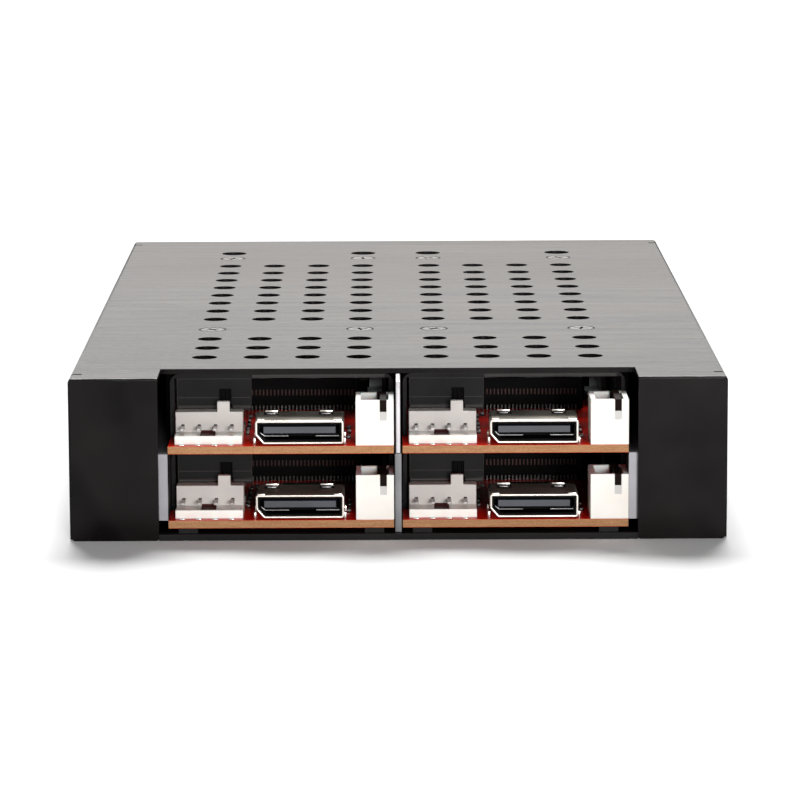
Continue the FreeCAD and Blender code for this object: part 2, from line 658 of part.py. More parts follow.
# Side rails: the lower ones carry the mounting threads, the upper ones stand on them
def make_lower_rail(side_name, side):
    body = new_body(f"lower_rail_{side_name}_body")
    web = "rail_face + rail_wall"
    outline = [("rail_face", "board_top"), (web, "board_top"), (web, "rail_top - rail_flange"),
               ("plate_half - rail_outer", "rail_top - rail_flange"),
               ("plate_half - rail_outer", "floor_wall + rail_foot"),
               ("plate_half - rail_foot_width", "floor_wall + rail_foot"),
               ("plate_half - rail_foot_width", "floor_wall"), ("plate_half - rail_lip", "floor_wall"),
               ("plate_half - rail_lip", "0"), ("plate_half", "0"),
               ("plate_half", "rail_top"), ("rail_face", "rail_top")]
    pad(body, f"lower_rail_{side_name}_pad", "XZ", ("rail_setback", "frame_back"),
        [[(f"{side} * ({x})", z) for x, z in outline]])
    tools = []
    for index, y in enumerate(("side_hole_rear", "side_hole_middle", "side_hole_front")):
        start = "plate_half - rail_outer - fit_gap" if side > 0 else "-plate_half - fit_gap"
        tools.append(rod(f"side_thread_{side_name}_{index}", "x", (start, y, "side_hole_z"),
                         "tap_radius", "rail_outer + 2 * fit_gap"))
    for index, y in enumerate(("base_hole_rear", "base_hole_front")):
        tools.append(rod(f"base_thread_{side_name}_{index}", "z", (f"{side} * base_hole_x", y, "-fit_gap"),
                         "tap_radius", "floor_wall + rail_foot + 2 * fit_gap"))
    for index, (x, y) in enumerate(base_screw_places(side)):
        tools.append(facet_rod(f"base_screw_hole_{side_name}_{index}", (x, y, "0"),
                               "screw_radius + 2 * screw_gap", "floor_wall + rail_foot + fit_gap",
                               SCREW_SIDES))
    return in_cage(f"lower_rail_{side_name}", cut(f"lower_rail_{side_name}_pierced", body, tools))


def make_upper_rail(side_name, side):
    body = new_body(f"upper_rail_{side_name}_body")
    web = "rail_face + rail_wall"
    outline = [("rail_face", "rail_top"), (web, "rail_top"), (web, "ceiling - rail_flange"),
               ("plate_half - rail_wall", "ceiling - rail_flange"), ("plate_half - rail_wall", "rail_top"),
               ("plate_half", "rail_top"), ("plate_half", "ceiling"), ("rail_face", "ceiling")]
    pad(body, f"upper_rail_{side_name}_pad", "XZ", ("upper_rail_start", "frame_back"),
        [[(f"{side} * ({x})", z) for x, z in outline]])
    return in_cage(f"upper_rail_{side_name}", body)


# Centre dividers: the lower one stops under the shelf and rises behind it
def make_dividers():
    lower = new_body("lower_divider_body")
    pad(lower, "lower_divider_pad", "YZ", ("-divider_lower / 2", "divider_lower / 2"), [[
        ("divider_setback", "floor_wall"), ("frame_back", "floor_wall"), ("frame_back", "shelf_bottom"),
        ("sleeve_start", "shelf_bottom"), ("sleeve_start", "rail_top"), ("divider_setback", "rail_top")]])
    upper = block("upper_divider_sheet", ("-divider_upper / 2", "divider_upper / 2"),
                  ("divider_setback", "frame_back"), ("rail_top", "ceiling"))
    return in_cage("lower_divider", lower) + in_cage("upper_divider", upper)


# Shelf between the levels
def make_shelf():
    sheet_block = block("shelf_sheet", ("-rail_face + fit_gap", "rail_face - fit_gap"),
                        ("sleeve_start", "frame_back"), ("shelf_bottom", "rail_top"))
    tools = []
    for side_name, side in SIDES.items():
        for hand in (-1, 1):
            tools.append(facet_rod(f"shelf_board_hole_{side_name}_{hand + 1}",
                                   (f"{side} * bay_pitch / 2 + {hand} * board_screw_x", "board_screw_y",
                                    "shelf_bottom - shelf_wall"), "board_screw_radius + screw_gap",
                                   "3 * shelf_wall", SCREW_SIDES))
    return in_cage("mid_shelf", cut("shelf_pierced", sheet_block, tools))


# Front frame with a window for each tray and air slots at the sides
def make_front_frame():
    plate = block("frame_plate", ("-plate_half", "plate_half"), ("frame_back", "cage_length"),
                  ("floor_wall", "ceiling"))
    tools = []
    for level_name, level in LEVELS.items():
        for side_name, side in SIDES.items():
            middle = f"{side} * bay_pitch / 2"
            base = f"board_top + {level} * level_pitch"
            tools.append(block(f"window_{level_name}_{side_name}",
                               (f"{middle} - tray_half - window_gap", f"{middle} + tray_half + window_gap"),
                               ("frame_back - frame_depth", "cage_length + frame_depth"),
                               (f"{base} + tray_bottom - window_gap", f"{base} + tray_top + window_gap")))
    for side_name, side in SIDES.items():
        for index in range(int(measure("frame_slots"))):
            middle = f"{side} * (half_width - frame_slot_inset - {index} * frame_slot_pitch)"
            tools.append(block(f"frame_slot_{side_name}_{index}",
                               (f"{middle} - frame_slot_width / 2", f"{middle} + frame_slot_width / 2"),
                               ("frame_back - frame_depth", "cage_length + frame_depth"),
                               ("floor_wall + frame_slot_margin", "ceiling - frame_slot_margin")))
    return in_cage("front_frame", cut("frame_pierced", plate, tools))


# Countersunk screw, its head's face at Z = 0 and its shank below
def make_flat_screw(name, head_height, length):
    head = cone(name + "_head", ("0", "0", f"-({head_height})"), "screw_radius", "screw_head_radius",
                head_height)
    shank = rod(name + "_shank", "z", ("0", "0", f"-({length})"), "screw_radius", length)
    return fuse(name, [head, shank])


def make_screws():
    cover_screw = make_flat_screw("cover_screw", "cover_wall", "screw_length")
    base_screw = make_flat_screw("base_screw", "floor_wall", "base_screw_length")
    cover_copies = []
    base_copies = []
    for side_name, side in SIDES.items():
        for index, (x, y) in enumerate(screw_places(side)):
            name = f"cover_screw_{side_name}_{index}"
            cover_copies.append(instance(name, cover_screw, x, y, "cage_height"))
        for index, (x, y) in enumerate(base_screw_places(side)):
            copy = instance(f"base_screw_{side_name}_{index}", base_screw, x, y, "0")
            copy.Placement.Rotation = FreeCAD.Rotation(FreeCAD.Vector(1, 0, 0), 180)
            base_copies.append(copy)
    head = facet_rod("board_screw_head", ("0", "0", "0"), "board_head_radius", "board_head_height",
                     SCREW_SIDES // 2)
    shank = facet_rod("board_screw_shank", ("0", "0", "-(board_wall + shelf_wall)"), "board_screw_radius",
                      "board_wall + shelf_wall", SCREW_SIDES)
    board_screw = fuse("board_screw", [head, shank])
    board_copies = []
    for level_name, level in LEVELS.items():
        for side_name, side in SIDES.items():
            for hand in (-1, 1):
                board_copies.append(instance(f"board_screw_{level_name}_{side_name}_{hand + 1}", board_screw,
                                             f"{side} * bay_pitch / 2 + {hand} * board_screw_x",
                                             "board_screw_y", f"board_top + {level} * level_pitch"))
    return (in_cage("cover_screws", group("cover_screw_set", cover_copies))
            + in_cage("base_screws", group("base_screw_set", base_copies))
            + in_cage("board_screws", group("board_screw_set", board_copies)))


# Rear board of a bay
def make_rear_boards():
    board = block("board_blank", ("-board_width / 2", "board_width / 2"),
                  ("board_setback", "board_setback + board_length"), ("-board_wall", "0"))
    tools = [facet_rod(f"board_hole_{hand + 1}",
                       (f"{hand} * board_screw_x", "board_screw_y", "-2 * board_wall"),
                       "board_screw_radius + screw_gap", "3 * board_wall", SCREW_SIDES) for hand in (-1, 1)]
    drilled = cut("board_drilled", board, tools)
    return in_each_bay("rear_board", drilled)


# Power header: a shelf with a window, a back wall and a latch tab
def make_power_headers():
    body = new_body("power_header_body")
    left = "-header_left"
    right = "header_width - header_left"
    pad(body, "header_shelf", "XZ", ("header_front", "header_wall_y"), [
        rectangle((left, right), ("0", "header_shelf_height"))])
    tab_right = "latch_width - latch_left"
    pad(body, "header_wall", "XZ", ("header_wall_y", "header_wall_y + header_wall_depth"), [
        rectangle((left, right), ("0", "header_height"))])
    pad(body, "latch_tab", "XZ", ("header_wall_y", "header_wall_y + latch_depth"), [
        rectangle(("-latch_left", tab_right), ("header_height - edge_round", "latch_height"))])
    pocket(body, "header_window", "XY", ("0", "header_shelf_height + edge_round"), [
        rectangle(("-header_window_left", "-header_window_right"),
                  ("header_front + header_window_lip", "header_wall_y"))])
    return in_each_bay("power_header", body)


# Pins of the power and fan headers
def make_header_pins():
    pins = []
    for index in range(int(measure("pin_count"))):
        middle = f"{index} * pin_pitch - pin_first"
        pins.append(block(f"power_pin_{index}", (f"{middle} - pin_side / 2", f"{middle} + pin_side / 2"),
                          ("header_wall_y - pin_reach", "header_wall_y"),
                          ("pin_height - pin_side / 2", "pin_height + pin_side / 2")))
    for index, hand in enumerate((-1, 1)):
        middle = f"fan_front + fan_depth / 2 + {hand} * fan_pin_pitch / 2"
        pins.append(block(f"fan_pin_{index}",
                          ("fan_left + (fan_width - pin_side) / 2", "fan_left + (fan_width + pin_side) / 2"),
                          (f"{middle} - pin_side / 2", f"{middle} + pin_side / 2"),
                          ("fan_floor", "fan_pin_height")))
    one_bay = group("bay_pins", pins)
    copies = in_each_bay("bay_pins", one_bay)
    return [group("header_pins", copies)]


# Data receptacle: a metal shell with one keying corner, feet and a plastic insert with a tongue
def shell_outline(inset):
    """Outline of the shell's mouth, drawn in by an inset; the keying corner is at the lower left."""
    left = f"-shell_left + {inset}"
    right = f"shell_width - shell_left - ({inset})"
    low = f"shell_lift + {inset}"
    high = f"shell_lift + shell_height - ({inset})"
    return [(left, f"{low} + shell_chamfer_z"), (left, high), (right, high), (right, low),
            (f"{left} + shell_chamfer_x", low)]


def make_data_shells():
    body = new_body("data_shell_body")
    span = ("shell_front", "shell_front + shell_depth")
    pad(body, "shell_block", "XZ", span, [shell_outline("0")])
    along_y = FreeCAD.Vector(0, 1, 0)
    high = measure("shell_lift + shell_height")
    right = measure("shell_width - shell_left")
    round_edges(body, "shell_corners", "shell_round",
                lambda item: runs_along(item, along_y)
                and (item.CenterOfMass.z > high - NEAR or item.CenterOfMass.x > right - NEAR))
    pocket(body, "shell_hollow", "XZ", span, [shell_outline("shell_wall")])
    feet = []
    for index in range(2):
        start = f"shell_front + shell_foot_start + {index} * shell_foot_pitch"
        for hand, (low, high) in enumerate((("-shell_left - shell_foot_width", "-shell_left"),
                                            ("shell_width - shell_left",
                                             "shell_width - shell_left + shell_foot_width"))):
            feet.append(block(f"shell_foot_{index}_{hand}", (low, high),
                              (start, f"{start} + shell_foot_length"),
                              ("0", "shell_lift + shell_chamfer_z + shell_foot_height")))
    shell = fuse("shell_with_feet", [body] + feet)
    return in_each_bay("data_shell", shell)


def make_data_inserts():
    body = new_body("data_insert_body")
    inset = "shell_wall + insert_gap"
    pad(body, "insert_block", "XZ", ("shell_front + insert_recess", "shell_front + shell_depth"),
        [shell_outline(inset)])
    pad(body, "insert_tongue", "XZ", ("shell_front + tongue_recess", "shell_front + shell_depth"), [
        rectangle(("tongue_left - shell_left", "tongue_left + tongue_width - shell_left"),
                  ("tongue_lift", "tongue_lift + tongue_height"))])
    copies = in_each_bay("data_insert", body)
    return [group("data_inserts", copies)]


# Fan header: an upright box open at the top, with a slot in its end wall
def make_fan_headers():
    outer = block("fan_block", ("fan_left", "fan_left + fan_width"), ("fan_front", "fan_front + fan_depth"),
                  ("0", "fan_height"))
    cavity = block("fan_cavity", ("fan_left + fan_wall", "fan_left + fan_width - fan_wall"),
                   ("fan_front + fan_wall", "fan_front + fan_depth - fan_wall"),
                   ("fan_floor", "fan_height + fan_wall"))
    slot = block("fan_slot", ("fan_left + fan_slot_left", "fan_left + fan_slot_left + fan_slot_width"),
                 ("fan_front - fan_wall", "fan_front + 2 * fan_wall"),
                 ("fan_height - fan_slot_depth", "fan_height + fan_wall"))
    header = cut("fan_header_moulding", outer, [cavity, slot])
    copies = in_each_bay("fan_header", header)
    return [group("fan_headers", copies)]


# Bay connector, with the slot that takes a tray's edge contacts
def make_bay_connectors():
    outer = block("comb_block", ("-comb_width / 2", "comb_width / 2"), ("comb_start", "comb_face"),
                  ("0", "comb_height"))
    slot = block("comb_slot", ("-comb_slot_width / 2", "comb_slot_width / 2"),
                 ("comb_face - comb_slot_depth", "comb_face + comb_slot_depth"),
                 ("comb_slot_lift", "comb_slot_lift + comb_slot_height"))
    connector = cut("comb_moulding", outer, [slot])
    return in_each_bay("bay_connector", connector)


# Sleeve of a bay: an inverted channel that guides the tray, with a flap over the power header
def make_sleeve(name, base, top, tools):
    """Sleeve whose feet stand at base and whose roof lies at top, both above the board."""
    body = new_body(name + "_body")
    outer_span = ("sleeve_start", "frame_back")
    pad(body, name + "_block", "XZ", outer_span, [rectangle(("-sleeve_half", "sleeve_half"), (base, top))])
    along_y = FreeCAD.Vector(0, 1, 0)
    roof = measure(top)
    round_edges(body, name + "_bends", "sleeve_round",
                lambda item: runs_along(item, along_y) and abs(item.CenterOfMass.z - roof) < NEAR)
    pocket(body, name + "_hollow", "XZ", outer_span, [
        rectangle(("-sleeve_half + sleeve_wall", "sleeve_half - sleeve_wall"),
                  (f"{base} - sleeve_wall", f"{top} - sleeve_wall"))])
    pocket(body, name + "_step", "YZ", ("-sleeve_width", "sleeve_width"), [
        rectangle(("sleeve_start - sleeve_wall", "board_setback + board_length + fit_gap"),
                  (f"{base} - sleeve_wall", "0"))])
    flap = block(name + "_flap", ("-flap_left", "-flap_right"),
                 ("sleeve_start", "sleeve_start + sleeve_wall"),
                 ("flap_bottom", f"{top} - sleeve_wall / 2"))
    lip = rod(name + "_lip", "x", ("-flap_left", "sleeve_start + sleeve_wall / 2", "flap_bottom"),
              "lip_radius", "flap_left - flap_right")
    notch = block(name + "_flap_notch", ("-flap_notch_left", "-flap_notch_right"),
                  ("sleeve_start - lip_radius", "sleeve_start + 3 * sleeve_wall"),
                  ("flap_bottom - 2 * lip_radius", "flap_notch_top"))
    return cut(name + "_sheet", fuse(name + "_folded", [body, flap, lip]), [notch] + tools)


def roof_tools(name, side, top):
    """Air slots under the vents and screw holes for the roof of an upper sleeve."""
    tools = []
    span = (f"{top} - 2 * sleeve_wall", f"{top} + sleeve_wall")
    for field, first, rows in vent_fields():
        for column in range(int(measure("vent_columns"))):
            middle = f"{side} * (vent_first_x + {column} * vent_pitch_x - bay_pitch / 2)"
            tools.append(block(f"{name}_{field}_slot_{column}",
                               (f"{middle} - roof_slot_width / 2", f"{middle} + roof_slot_width / 2"),
                               (f"{first} - roof_slot_width / 2",
                                f"{first} + ({rows} - 1) * vent_pitch_y + roof_slot_width / 2"), span))
    for index, (x, y) in enumerate(screw_places(side)):
        tools.append(facet_rod(f"{name}_screw_hole_{index}", (f"{x} - {side} * bay_pitch / 2", y, span[0]),
                               "screw_radius + 2 * screw_gap", "3 * sleeve_wall", SCREW_SIDES))
    return tools


def make_sleeves():
    lower = make_sleeve("lower_sleeve", "-(standoff + board_wall)", "shelf_bottom - board_top", [])
    sleeves = {"lower_left": lower, "lower_right": lower}
    top = "ceiling - board_top - level_pitch"
    for side_name, side in SIDES.items():
        name = f"upper_{side_name}_sleeve"
        sleeves[f"upper_{side_name}"] = make_sleeve(name, "-board_wall", top, roof_tools(name, side, top))
    return in_each_bay("bay_sleeve", sleeves)


# Tray: a folded channel with lowered sides, air slots, bosses, clip guide and front flange
def make_tray_frames():
    body = new_body("tray_body")
    end = "bezel_back"
    low = "tray_bottom + tray_low_wall"
    near = "tray_start + tray_low_start"
    far = f"{end} - tray_low_stop"
    pad(body, "tray_block", "YZ", ("-tray_half", "tray_half"), [[
        ("tray_start", "tray_bottom"), (end, "tray_bottom"), (end, "tray_top"), (far, "tray_top"),
        (f"{far} - tray_slope", low), (f"{near} + tray_slope", low), (near, "tray_top"),
        ("tray_start", "tray_top")]])
    pocket(body, "tray_hollow", "XZ", ("tray_start - tray_wall", f"{end} - tray_flange"), [
        rectangle(("-tray_half + tray_wall", "tray_half - tray_wall"),
                  ("tray_floor", "tray_top + tray_wall"))])
    pocket(body, "flange_window", "XZ", (f"{end} - 2 * tray_flange", f"{end} + tray_flange"), [
        rectangle(("-tray_half + tray_wall + tray_flange_rim", "tray_half - tray_wall - tray_flange_rim"),
                  ("tray_floor + tray_flange_rim", "tray_top - tray_flange_rim"))])
    slots = []
    for index in range(int(measure("tray_slot_rows"))):
        start = f"tray_start + tray_slot_first + {index} * tray_slot_pitch"
        for side in SIDES.values():
            slots.append(rectangle((f"{side} * tray_slot_x - tray_slot_width / 2",
                                    f"{side} * tray_slot_x + tray_slot_width / 2"),
                                   (start, f"{start} + tray_slot_length")))
    pocket(body, "tray_air_slots", "XY", ("tray_bottom - tray_wall", "tray_floor + tray_wall"), slots)
    guide_span = ("guide_start", "guide_start + guide_length")
    stem_top = "tray_floor + guide_stem_height"
    stem = block("guide_stem", ("-guide_stem_width / 2", "guide_stem_width / 2"), guide_span,
                 ("tray_floor", stem_top))
    head = block("guide_head", ("-guide_head_width / 2", "guide_head_width / 2"), guide_span,
                 (stem_top, f"{stem_top} + guide_head_height"))
    bosses = [facet_rod(f"carrier_boss_{hand + 1}", (f"{hand} * boss_x", "tray_start + boss_y", "tray_floor"),
                        "boss_radius", "carrier_lift", SCREW_SIDES // 2) for hand in (-1, 1)]
    tray = fuse("tray_folded", [body, stem, head] + bosses)
    return in_each_bay("tray_frame", tray)


# Clip that slides on the tray's guide and holds the end of a drive
def make_drive_clips():
    body = new_body("clip_body")
    start = "clip_start"
    stop = "clip_start + clip_length"
    post = f"{stop} - clip_post"
    base = "tray_floor + clip_gap"
    deck = "tray_floor + clip_base"
    top = "tray_floor + clip_top"
    notch_low = "drive_z - clip_gap"
    notch_high = "drive_z + drive_wall + clip_gap"
    pad(body, "clip_block", "YZ", ("-clip_width / 2", "clip_width / 2"), [[
        (start, base), (stop, base), (stop, top), (f"{post} - clip_notch_depth / 2", top),
        (f"{post} - clip_notch_depth / 2", notch_high), (f"{post} + clip_notch_depth / 2", notch_high),
        (f"{post} + clip_notch_depth / 2", notch_low), (f"{post} - clip_notch_depth", notch_low),
        (f"{post} - clip_notch_depth", deck), (start, deck)]])
    half_stem = "guide_stem_width / 2 + clip_gap"
    half_head = "guide_head_width / 2 + clip_gap"
    under_head = "tray_floor + guide_stem_height - clip_gap"
    over_head = "tray_floor + guide_stem_height + guide_head_height + clip_gap"
    pocket(body, "clip_groove", "XZ", (f"{start} - clip_gap", f"{stop} + clip_gap"), [[
        (f"-({half_stem})", "tray_floor"), (half_stem, "tray_floor"), (half_stem, under_head),
        (half_head, under_head), (half_head, over_head), (f"-({half_head})", over_head),
        (f"-({half_head})", under_head), (f"-({half_stem})", under_head)]])
    return in_each_bay("drive_clip", body)


# Carrier board with edge contacts at the rear and the drive socket on top
def make_drive_boards():
    tip = "comb_face - comb_slot_depth + tongue_tip_gap"
    low = "carrier_z + carrier_wall"
    board = fuse("carrier_board", [
        block("carrier_tongue", ("-edge_width / 2", "edge_width / 2"), (tip, "tray_start + tray_wall"),
              ("carrier_z", low)),
        block("carrier_blank", ("-carrier_width / 2", "carrier_width / 2"),
              ("tray_start", "tray_start + carrier_length"), ("carrier_z", low))])
    start = "tray_start + socket_start"
    outer = block("socket_block", ("-socket_width / 2", "socket_width / 2"),
                  (start, f"{start} + socket_depth"), (low, f"{low} + socket_height"))
    slot_low = "drive_z + drive_wall / 2 - socket_slot_height / 2"
    slot = block("socket_slot", ("-socket_slot_width / 2", "socket_slot_width / 2"),
                 (f"{start} + socket_depth - socket_slot_depth", f"{start} + 2 * socket_depth"),
                 (slot_low, f"{slot_low} + socket_slot_height"))
    pair = group("carrier_and_socket", [board, cut("socket_moulding", outer, [slot])])
    return in_each_bay("drive_board", pair)


# Bezel: a tub-shaped front with a recess for the lever and the button
def make_bezels():
    body = new_body("bezel_body")
    low = "tray_middle - bezel_height / 2"
    high = "tray_middle + bezel_height / 2"
    pad(body, "bezel_block", "XZ", ("bezel_back", "bezel_front"), [
        rectangle(("-bezel_width / 2", "bezel_width / 2"), (low, high))])
    along_y = FreeCAD.Vector(0, 1, 0)
    round_edges(body, "bezel_corners", "bezel_round", lambda item: runs_along(item, along_y))
    pocket(body, "bezel_recess", "XZ", ("recess_floor", "bezel_front + bezel_plate"), [
        rectangle(("-recess_left", "recess_right"),
                  ("tray_middle - recess_height / 2", "tray_middle + recess_height / 2"))])
    vents = []
    for index in range(int(measure("bezel_vents"))):
        middle = f"{index} * bezel_vent_pitch - bezel_vent_first"
        vents.append(rectangle((f"{middle} - bezel_vent_width / 2", f"{middle} + bezel_vent_width / 2"),
                               ("tray_middle - bezel_vent_height / 2",
                                "tray_middle + bezel_vent_height / 2")))
    pocket(body, "bezel_air_slots", "XZ", ("bezel_back - bezel_plate", "bezel_front"), vents)
    stem_x = "button_left + button_width / 2"
    pocket(body, "stem_hole", "XZ", ("bezel_back - bezel_plate", "bezel_front"), [
        rectangle((f"{stem_x} - stem_width / 2 - stem_gap", f"{stem_x} + stem_width / 2 + stem_gap"),
                  ("tray_middle - stem_width / 2 - stem_gap", "tray_middle + stem_width / 2 + stem_gap"))])
    reach = "lever_height / 2 + pivot_reach + pivot_end_gap"
    pivot_hole = rod("pivot_hole", "z", ("-lever_axis_x", "axis_y", f"tray_middle - ({reach})"),
                     "pivot_radius + pivot_gap", f"2 * ({reach})")
    bezel = cut("bezel_moulding", body, [pivot_hole])
    return in_each_bay("tray_bezel", bezel)


# Lever: a crowned bar with a hub, two pivots, air slots and a grip groove
def make_levers():
    low = "tray_middle - lever_height / 2"
    high = "tray_middle + lever_height / 2"
    body = new_body("lever_bar")
    pad(body, "lever_pad", "XY", (low, high), [
        rectangle(("-lever_axis_x", "lever_end"), ("lever_back", "lever_front"))])
    along_z = FreeCAD.Vector(0, 0, 1)
    end = measure("lever_end")
    round_edges(body, "lever_end_rounds", "lever_round",
                lambda item: runs_along(item, along_z) and abs(item.CenterOfMass.x - end) < NEAR)
    vents = []
    for index in range(int(measure("bezel_vents"))):
        middle = f"{index} * bezel_vent_pitch - bezel_vent_first"
        vents.append(rectangle((f"{middle} - lever_vent_width / 2", f"{middle} + lever_vent_width / 2"),
                               ("tray_middle - lever_vent_height / 2",
                                "tray_middle + lever_vent_height / 2")))
    pocket(body, "lever_air_slots", "XZ", ("lever_back - lever_lift", "lever_front + lever_lift"), vents)
    crown = rod("lever_crown_round", "z",
                ("(lever_end - lever_axis_x) / 2", "lever_front - lever_crown", low),
                "lever_crown", "lever_height")
    bar = doc.addObject("Part::MultiCommon", "lever_crowned")
    bar.Shapes = [body, crown]
    hub = rod("lever_hub_round", "z", ("-lever_axis_x", "axis_y", low), "lever_hub", "lever_height")
    pivots = rod("lever_pivots", "z", ("-lever_axis_x", "axis_y", f"{low} - pivot_reach"), "pivot_radius",
                 "lever_height + 2 * pivot_reach")
    heel = block("lever_heel", ("-lever_axis_x - lever_depth", "-lever_axis_x"),
                 ("lever_back - lever_lift", "lever_front + lever_lift"), (low, high))
    toe = block("lever_toe", ("-lever_axis_x", "-lever_axis_x + lever_hub"),
                ("axis_y + lever_hub", "lever_front + lever_lift"), (low, high))
    grip = block("lever_grip", ("lever_end - 2 * grip_width", "lever_end - grip_width"),
                 ("lever_front - lever_depth / 8 - grip_depth", "lever_front + lever_lift"), (low, high))
    trimmed = cut("lever_trimmed", bar, [heel, toe, grip])
    lever = fuse("lever_moulding", [trimmed, hub, pivots])
    return in_each_bay("tray_lever", lever)


# Release button: a cap, a stem through the bezel and a head behind it
def make_buttons():
    body = new_body("button_body")
    right = "button_left + button_width"
    cap_back = "recess_floor + button_back"
    cap_front = cap_back + " + button_depth"
    pad(body, "button_cap", "XZ", (cap_back, cap_front), [
        rectangle(("button_left", right),
                  ("tray_middle - button_height / 2", "tray_middle + button_height / 2"))])
    front = measure(cap_front)
    round_edges(body, "button_rounds", "button_round", lambda item: abs(item.CenterOfMass.y - front) < NEAR)
    middle = "button_left + button_width / 2"
    head_front = "bezel_back - head_gap"
    stem = block("button_stem", (f"{middle} - stem_width / 2", f"{middle} + stem_width / 2"),
                 (head_front, cap_back),
                 ("tray_middle - stem_width / 2", "tray_middle + stem_width / 2"))
    head = block("button_head", (f"{middle} - stem_head / 2", f"{middle} + stem_head / 2"),
                 (f"{head_front} - stem_head_depth", head_front),
                 ("tray_middle - stem_head / 2", "tray_middle + stem_head / 2"))
    button = fuse("button_moulding", [body, stem, head])
    return in_each_bay("release_button", button)


pieces = make_top_cover() + make_base_plate()
for side_name, side in SIDES.items():
    pieces += make_lower_rail(side_name, side) + make_upper_rail(side_name, side)
for make in (make_dividers, make_shelf, make_front_frame, make_screws, make_rear_boards, make_power_headers,
             make_header_pins, make_data_shells, make_data_inserts, make_fan_headers, make_bay_connectors,
             make_sleeves, make_tray_frames, make_drive_clips, make_drive_boards, make_bezels, make_levers,
             make_buttons):
    pieces += make()

doc.recompute()
for item in doc.Objects:
    if {"Invalid", "Error"} & set(item.State):
        raise RuntimeError(f"{item.Name} failed: {item.State}")
os.makedirs("parts", exist_ok=True)
for piece in pieces:
    shape = piece.Shape
    if shape.isNull() or not shape.isValid():
        raise RuntimeError(f"{piece.Label} has no sound shape")
    shape.exportStep(f"parts/{piece.Label}.step")
print(f"{len(pieces)} pieces")
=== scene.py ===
"""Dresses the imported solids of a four-bay hot swap drive cage, seen from its rear.

Every length is in millimetres until a mesh is closed, and Y counts from the rear plane, as in the
part's own source. Each sub-assembly is a class with its sizes as fields; each finish is a class too.
"""
import json
import logging
import math
from dataclasses import dataclass
from enum import Enum
from typing import Callable, Iterable, Sequence

import bmesh
import bpy
from mathutils import Matrix, Vector

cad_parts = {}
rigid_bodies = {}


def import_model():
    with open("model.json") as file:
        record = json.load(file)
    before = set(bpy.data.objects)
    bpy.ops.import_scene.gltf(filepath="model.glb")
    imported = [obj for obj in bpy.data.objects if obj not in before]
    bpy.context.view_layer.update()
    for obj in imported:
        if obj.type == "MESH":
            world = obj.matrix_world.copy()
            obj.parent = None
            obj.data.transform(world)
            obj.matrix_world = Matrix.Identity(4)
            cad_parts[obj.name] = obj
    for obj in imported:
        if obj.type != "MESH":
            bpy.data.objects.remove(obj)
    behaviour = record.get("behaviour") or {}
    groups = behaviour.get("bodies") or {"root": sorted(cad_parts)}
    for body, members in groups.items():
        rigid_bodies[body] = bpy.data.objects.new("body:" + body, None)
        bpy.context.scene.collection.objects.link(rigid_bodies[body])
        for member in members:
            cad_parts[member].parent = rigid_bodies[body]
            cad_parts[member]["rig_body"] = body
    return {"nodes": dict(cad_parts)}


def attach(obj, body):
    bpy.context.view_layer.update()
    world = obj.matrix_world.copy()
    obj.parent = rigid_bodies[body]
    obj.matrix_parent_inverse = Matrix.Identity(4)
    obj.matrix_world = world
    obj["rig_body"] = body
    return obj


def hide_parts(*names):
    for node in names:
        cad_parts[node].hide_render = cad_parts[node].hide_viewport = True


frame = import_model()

LOG = logging.getLogger("drive_cage")
MILLIMETRE = 0.001
REAR_PLANE = -87.6
SHARP_ANGLE = math.radians(32.0)
BAY_MIDDLE = 18.125
POWER_PINS = [-15.45 + 2.54 * index for index in range(4)]
WHITE = (1.0, 1.0, 1.0, 1.0)

Point = tuple[float, float, float]
Pair = tuple[float, float]
Colour = tuple[float, float, float]
Socket = bpy.types.NodeSocket


def shade(colour: Sequence[float]) -> tuple[float, ...]:
    """Turns a colour as seen on a screen into the linear colour that a shader takes.

    Args:
        colour: Red, green and blue from 0 to 255.

    Returns:
        The linear colour with full opacity.
    """
    parts = [value / 255.0 for value in colour]
    return (*(value / 12.92 if value <= 0.04045 else ((value + 0.055) / 1.055) ** 2.4 for value in parts), 1.0)


def around(middle: float, half: float) -> Pair:
    """Gives both ends of a span from its middle and half its length."""
    return middle - half, middle + half


def placed(along: float) -> float:
    """Turns a place along the cage into Y of a finished mesh, in metres."""
    return (along + REAR_PLANE) * MILLIMETRE


class Side(Enum):
    """The two sides of the cage, as seen from the rear."""

    LEFT = -1
    RIGHT = 1


class Level(Enum):
    """The two levels of bays, each with the height of its board's top."""

    LOWER = 3.0
    UPPER = 14.65


@dataclass(frozen=True)
class Bay:
    """One bay: a column and a level, with the place of its middle."""

    level: Level
    side: Side

    @property
    def name(self) -> str:
        """The bay's name, as the solids use it."""
        return f"{self.level.name.lower()}_{self.side.name.lower()}"

    @property
    def middle(self) -> float:
        """X of the bay's middle."""
        return BAY_MIDDLE * self.side.value

    @property
    def floor(self) -> float:
        """Height of the top of the bay's board."""
        return self.level.value

    def at(self, across: float, along: float, up: float) -> Point:
        """Turns a place in the bay into a place on the cage."""
        return self.middle + across, along, self.floor + up


BAYS = [Bay(level, side) for level in Level for side in Side]


# Finishes

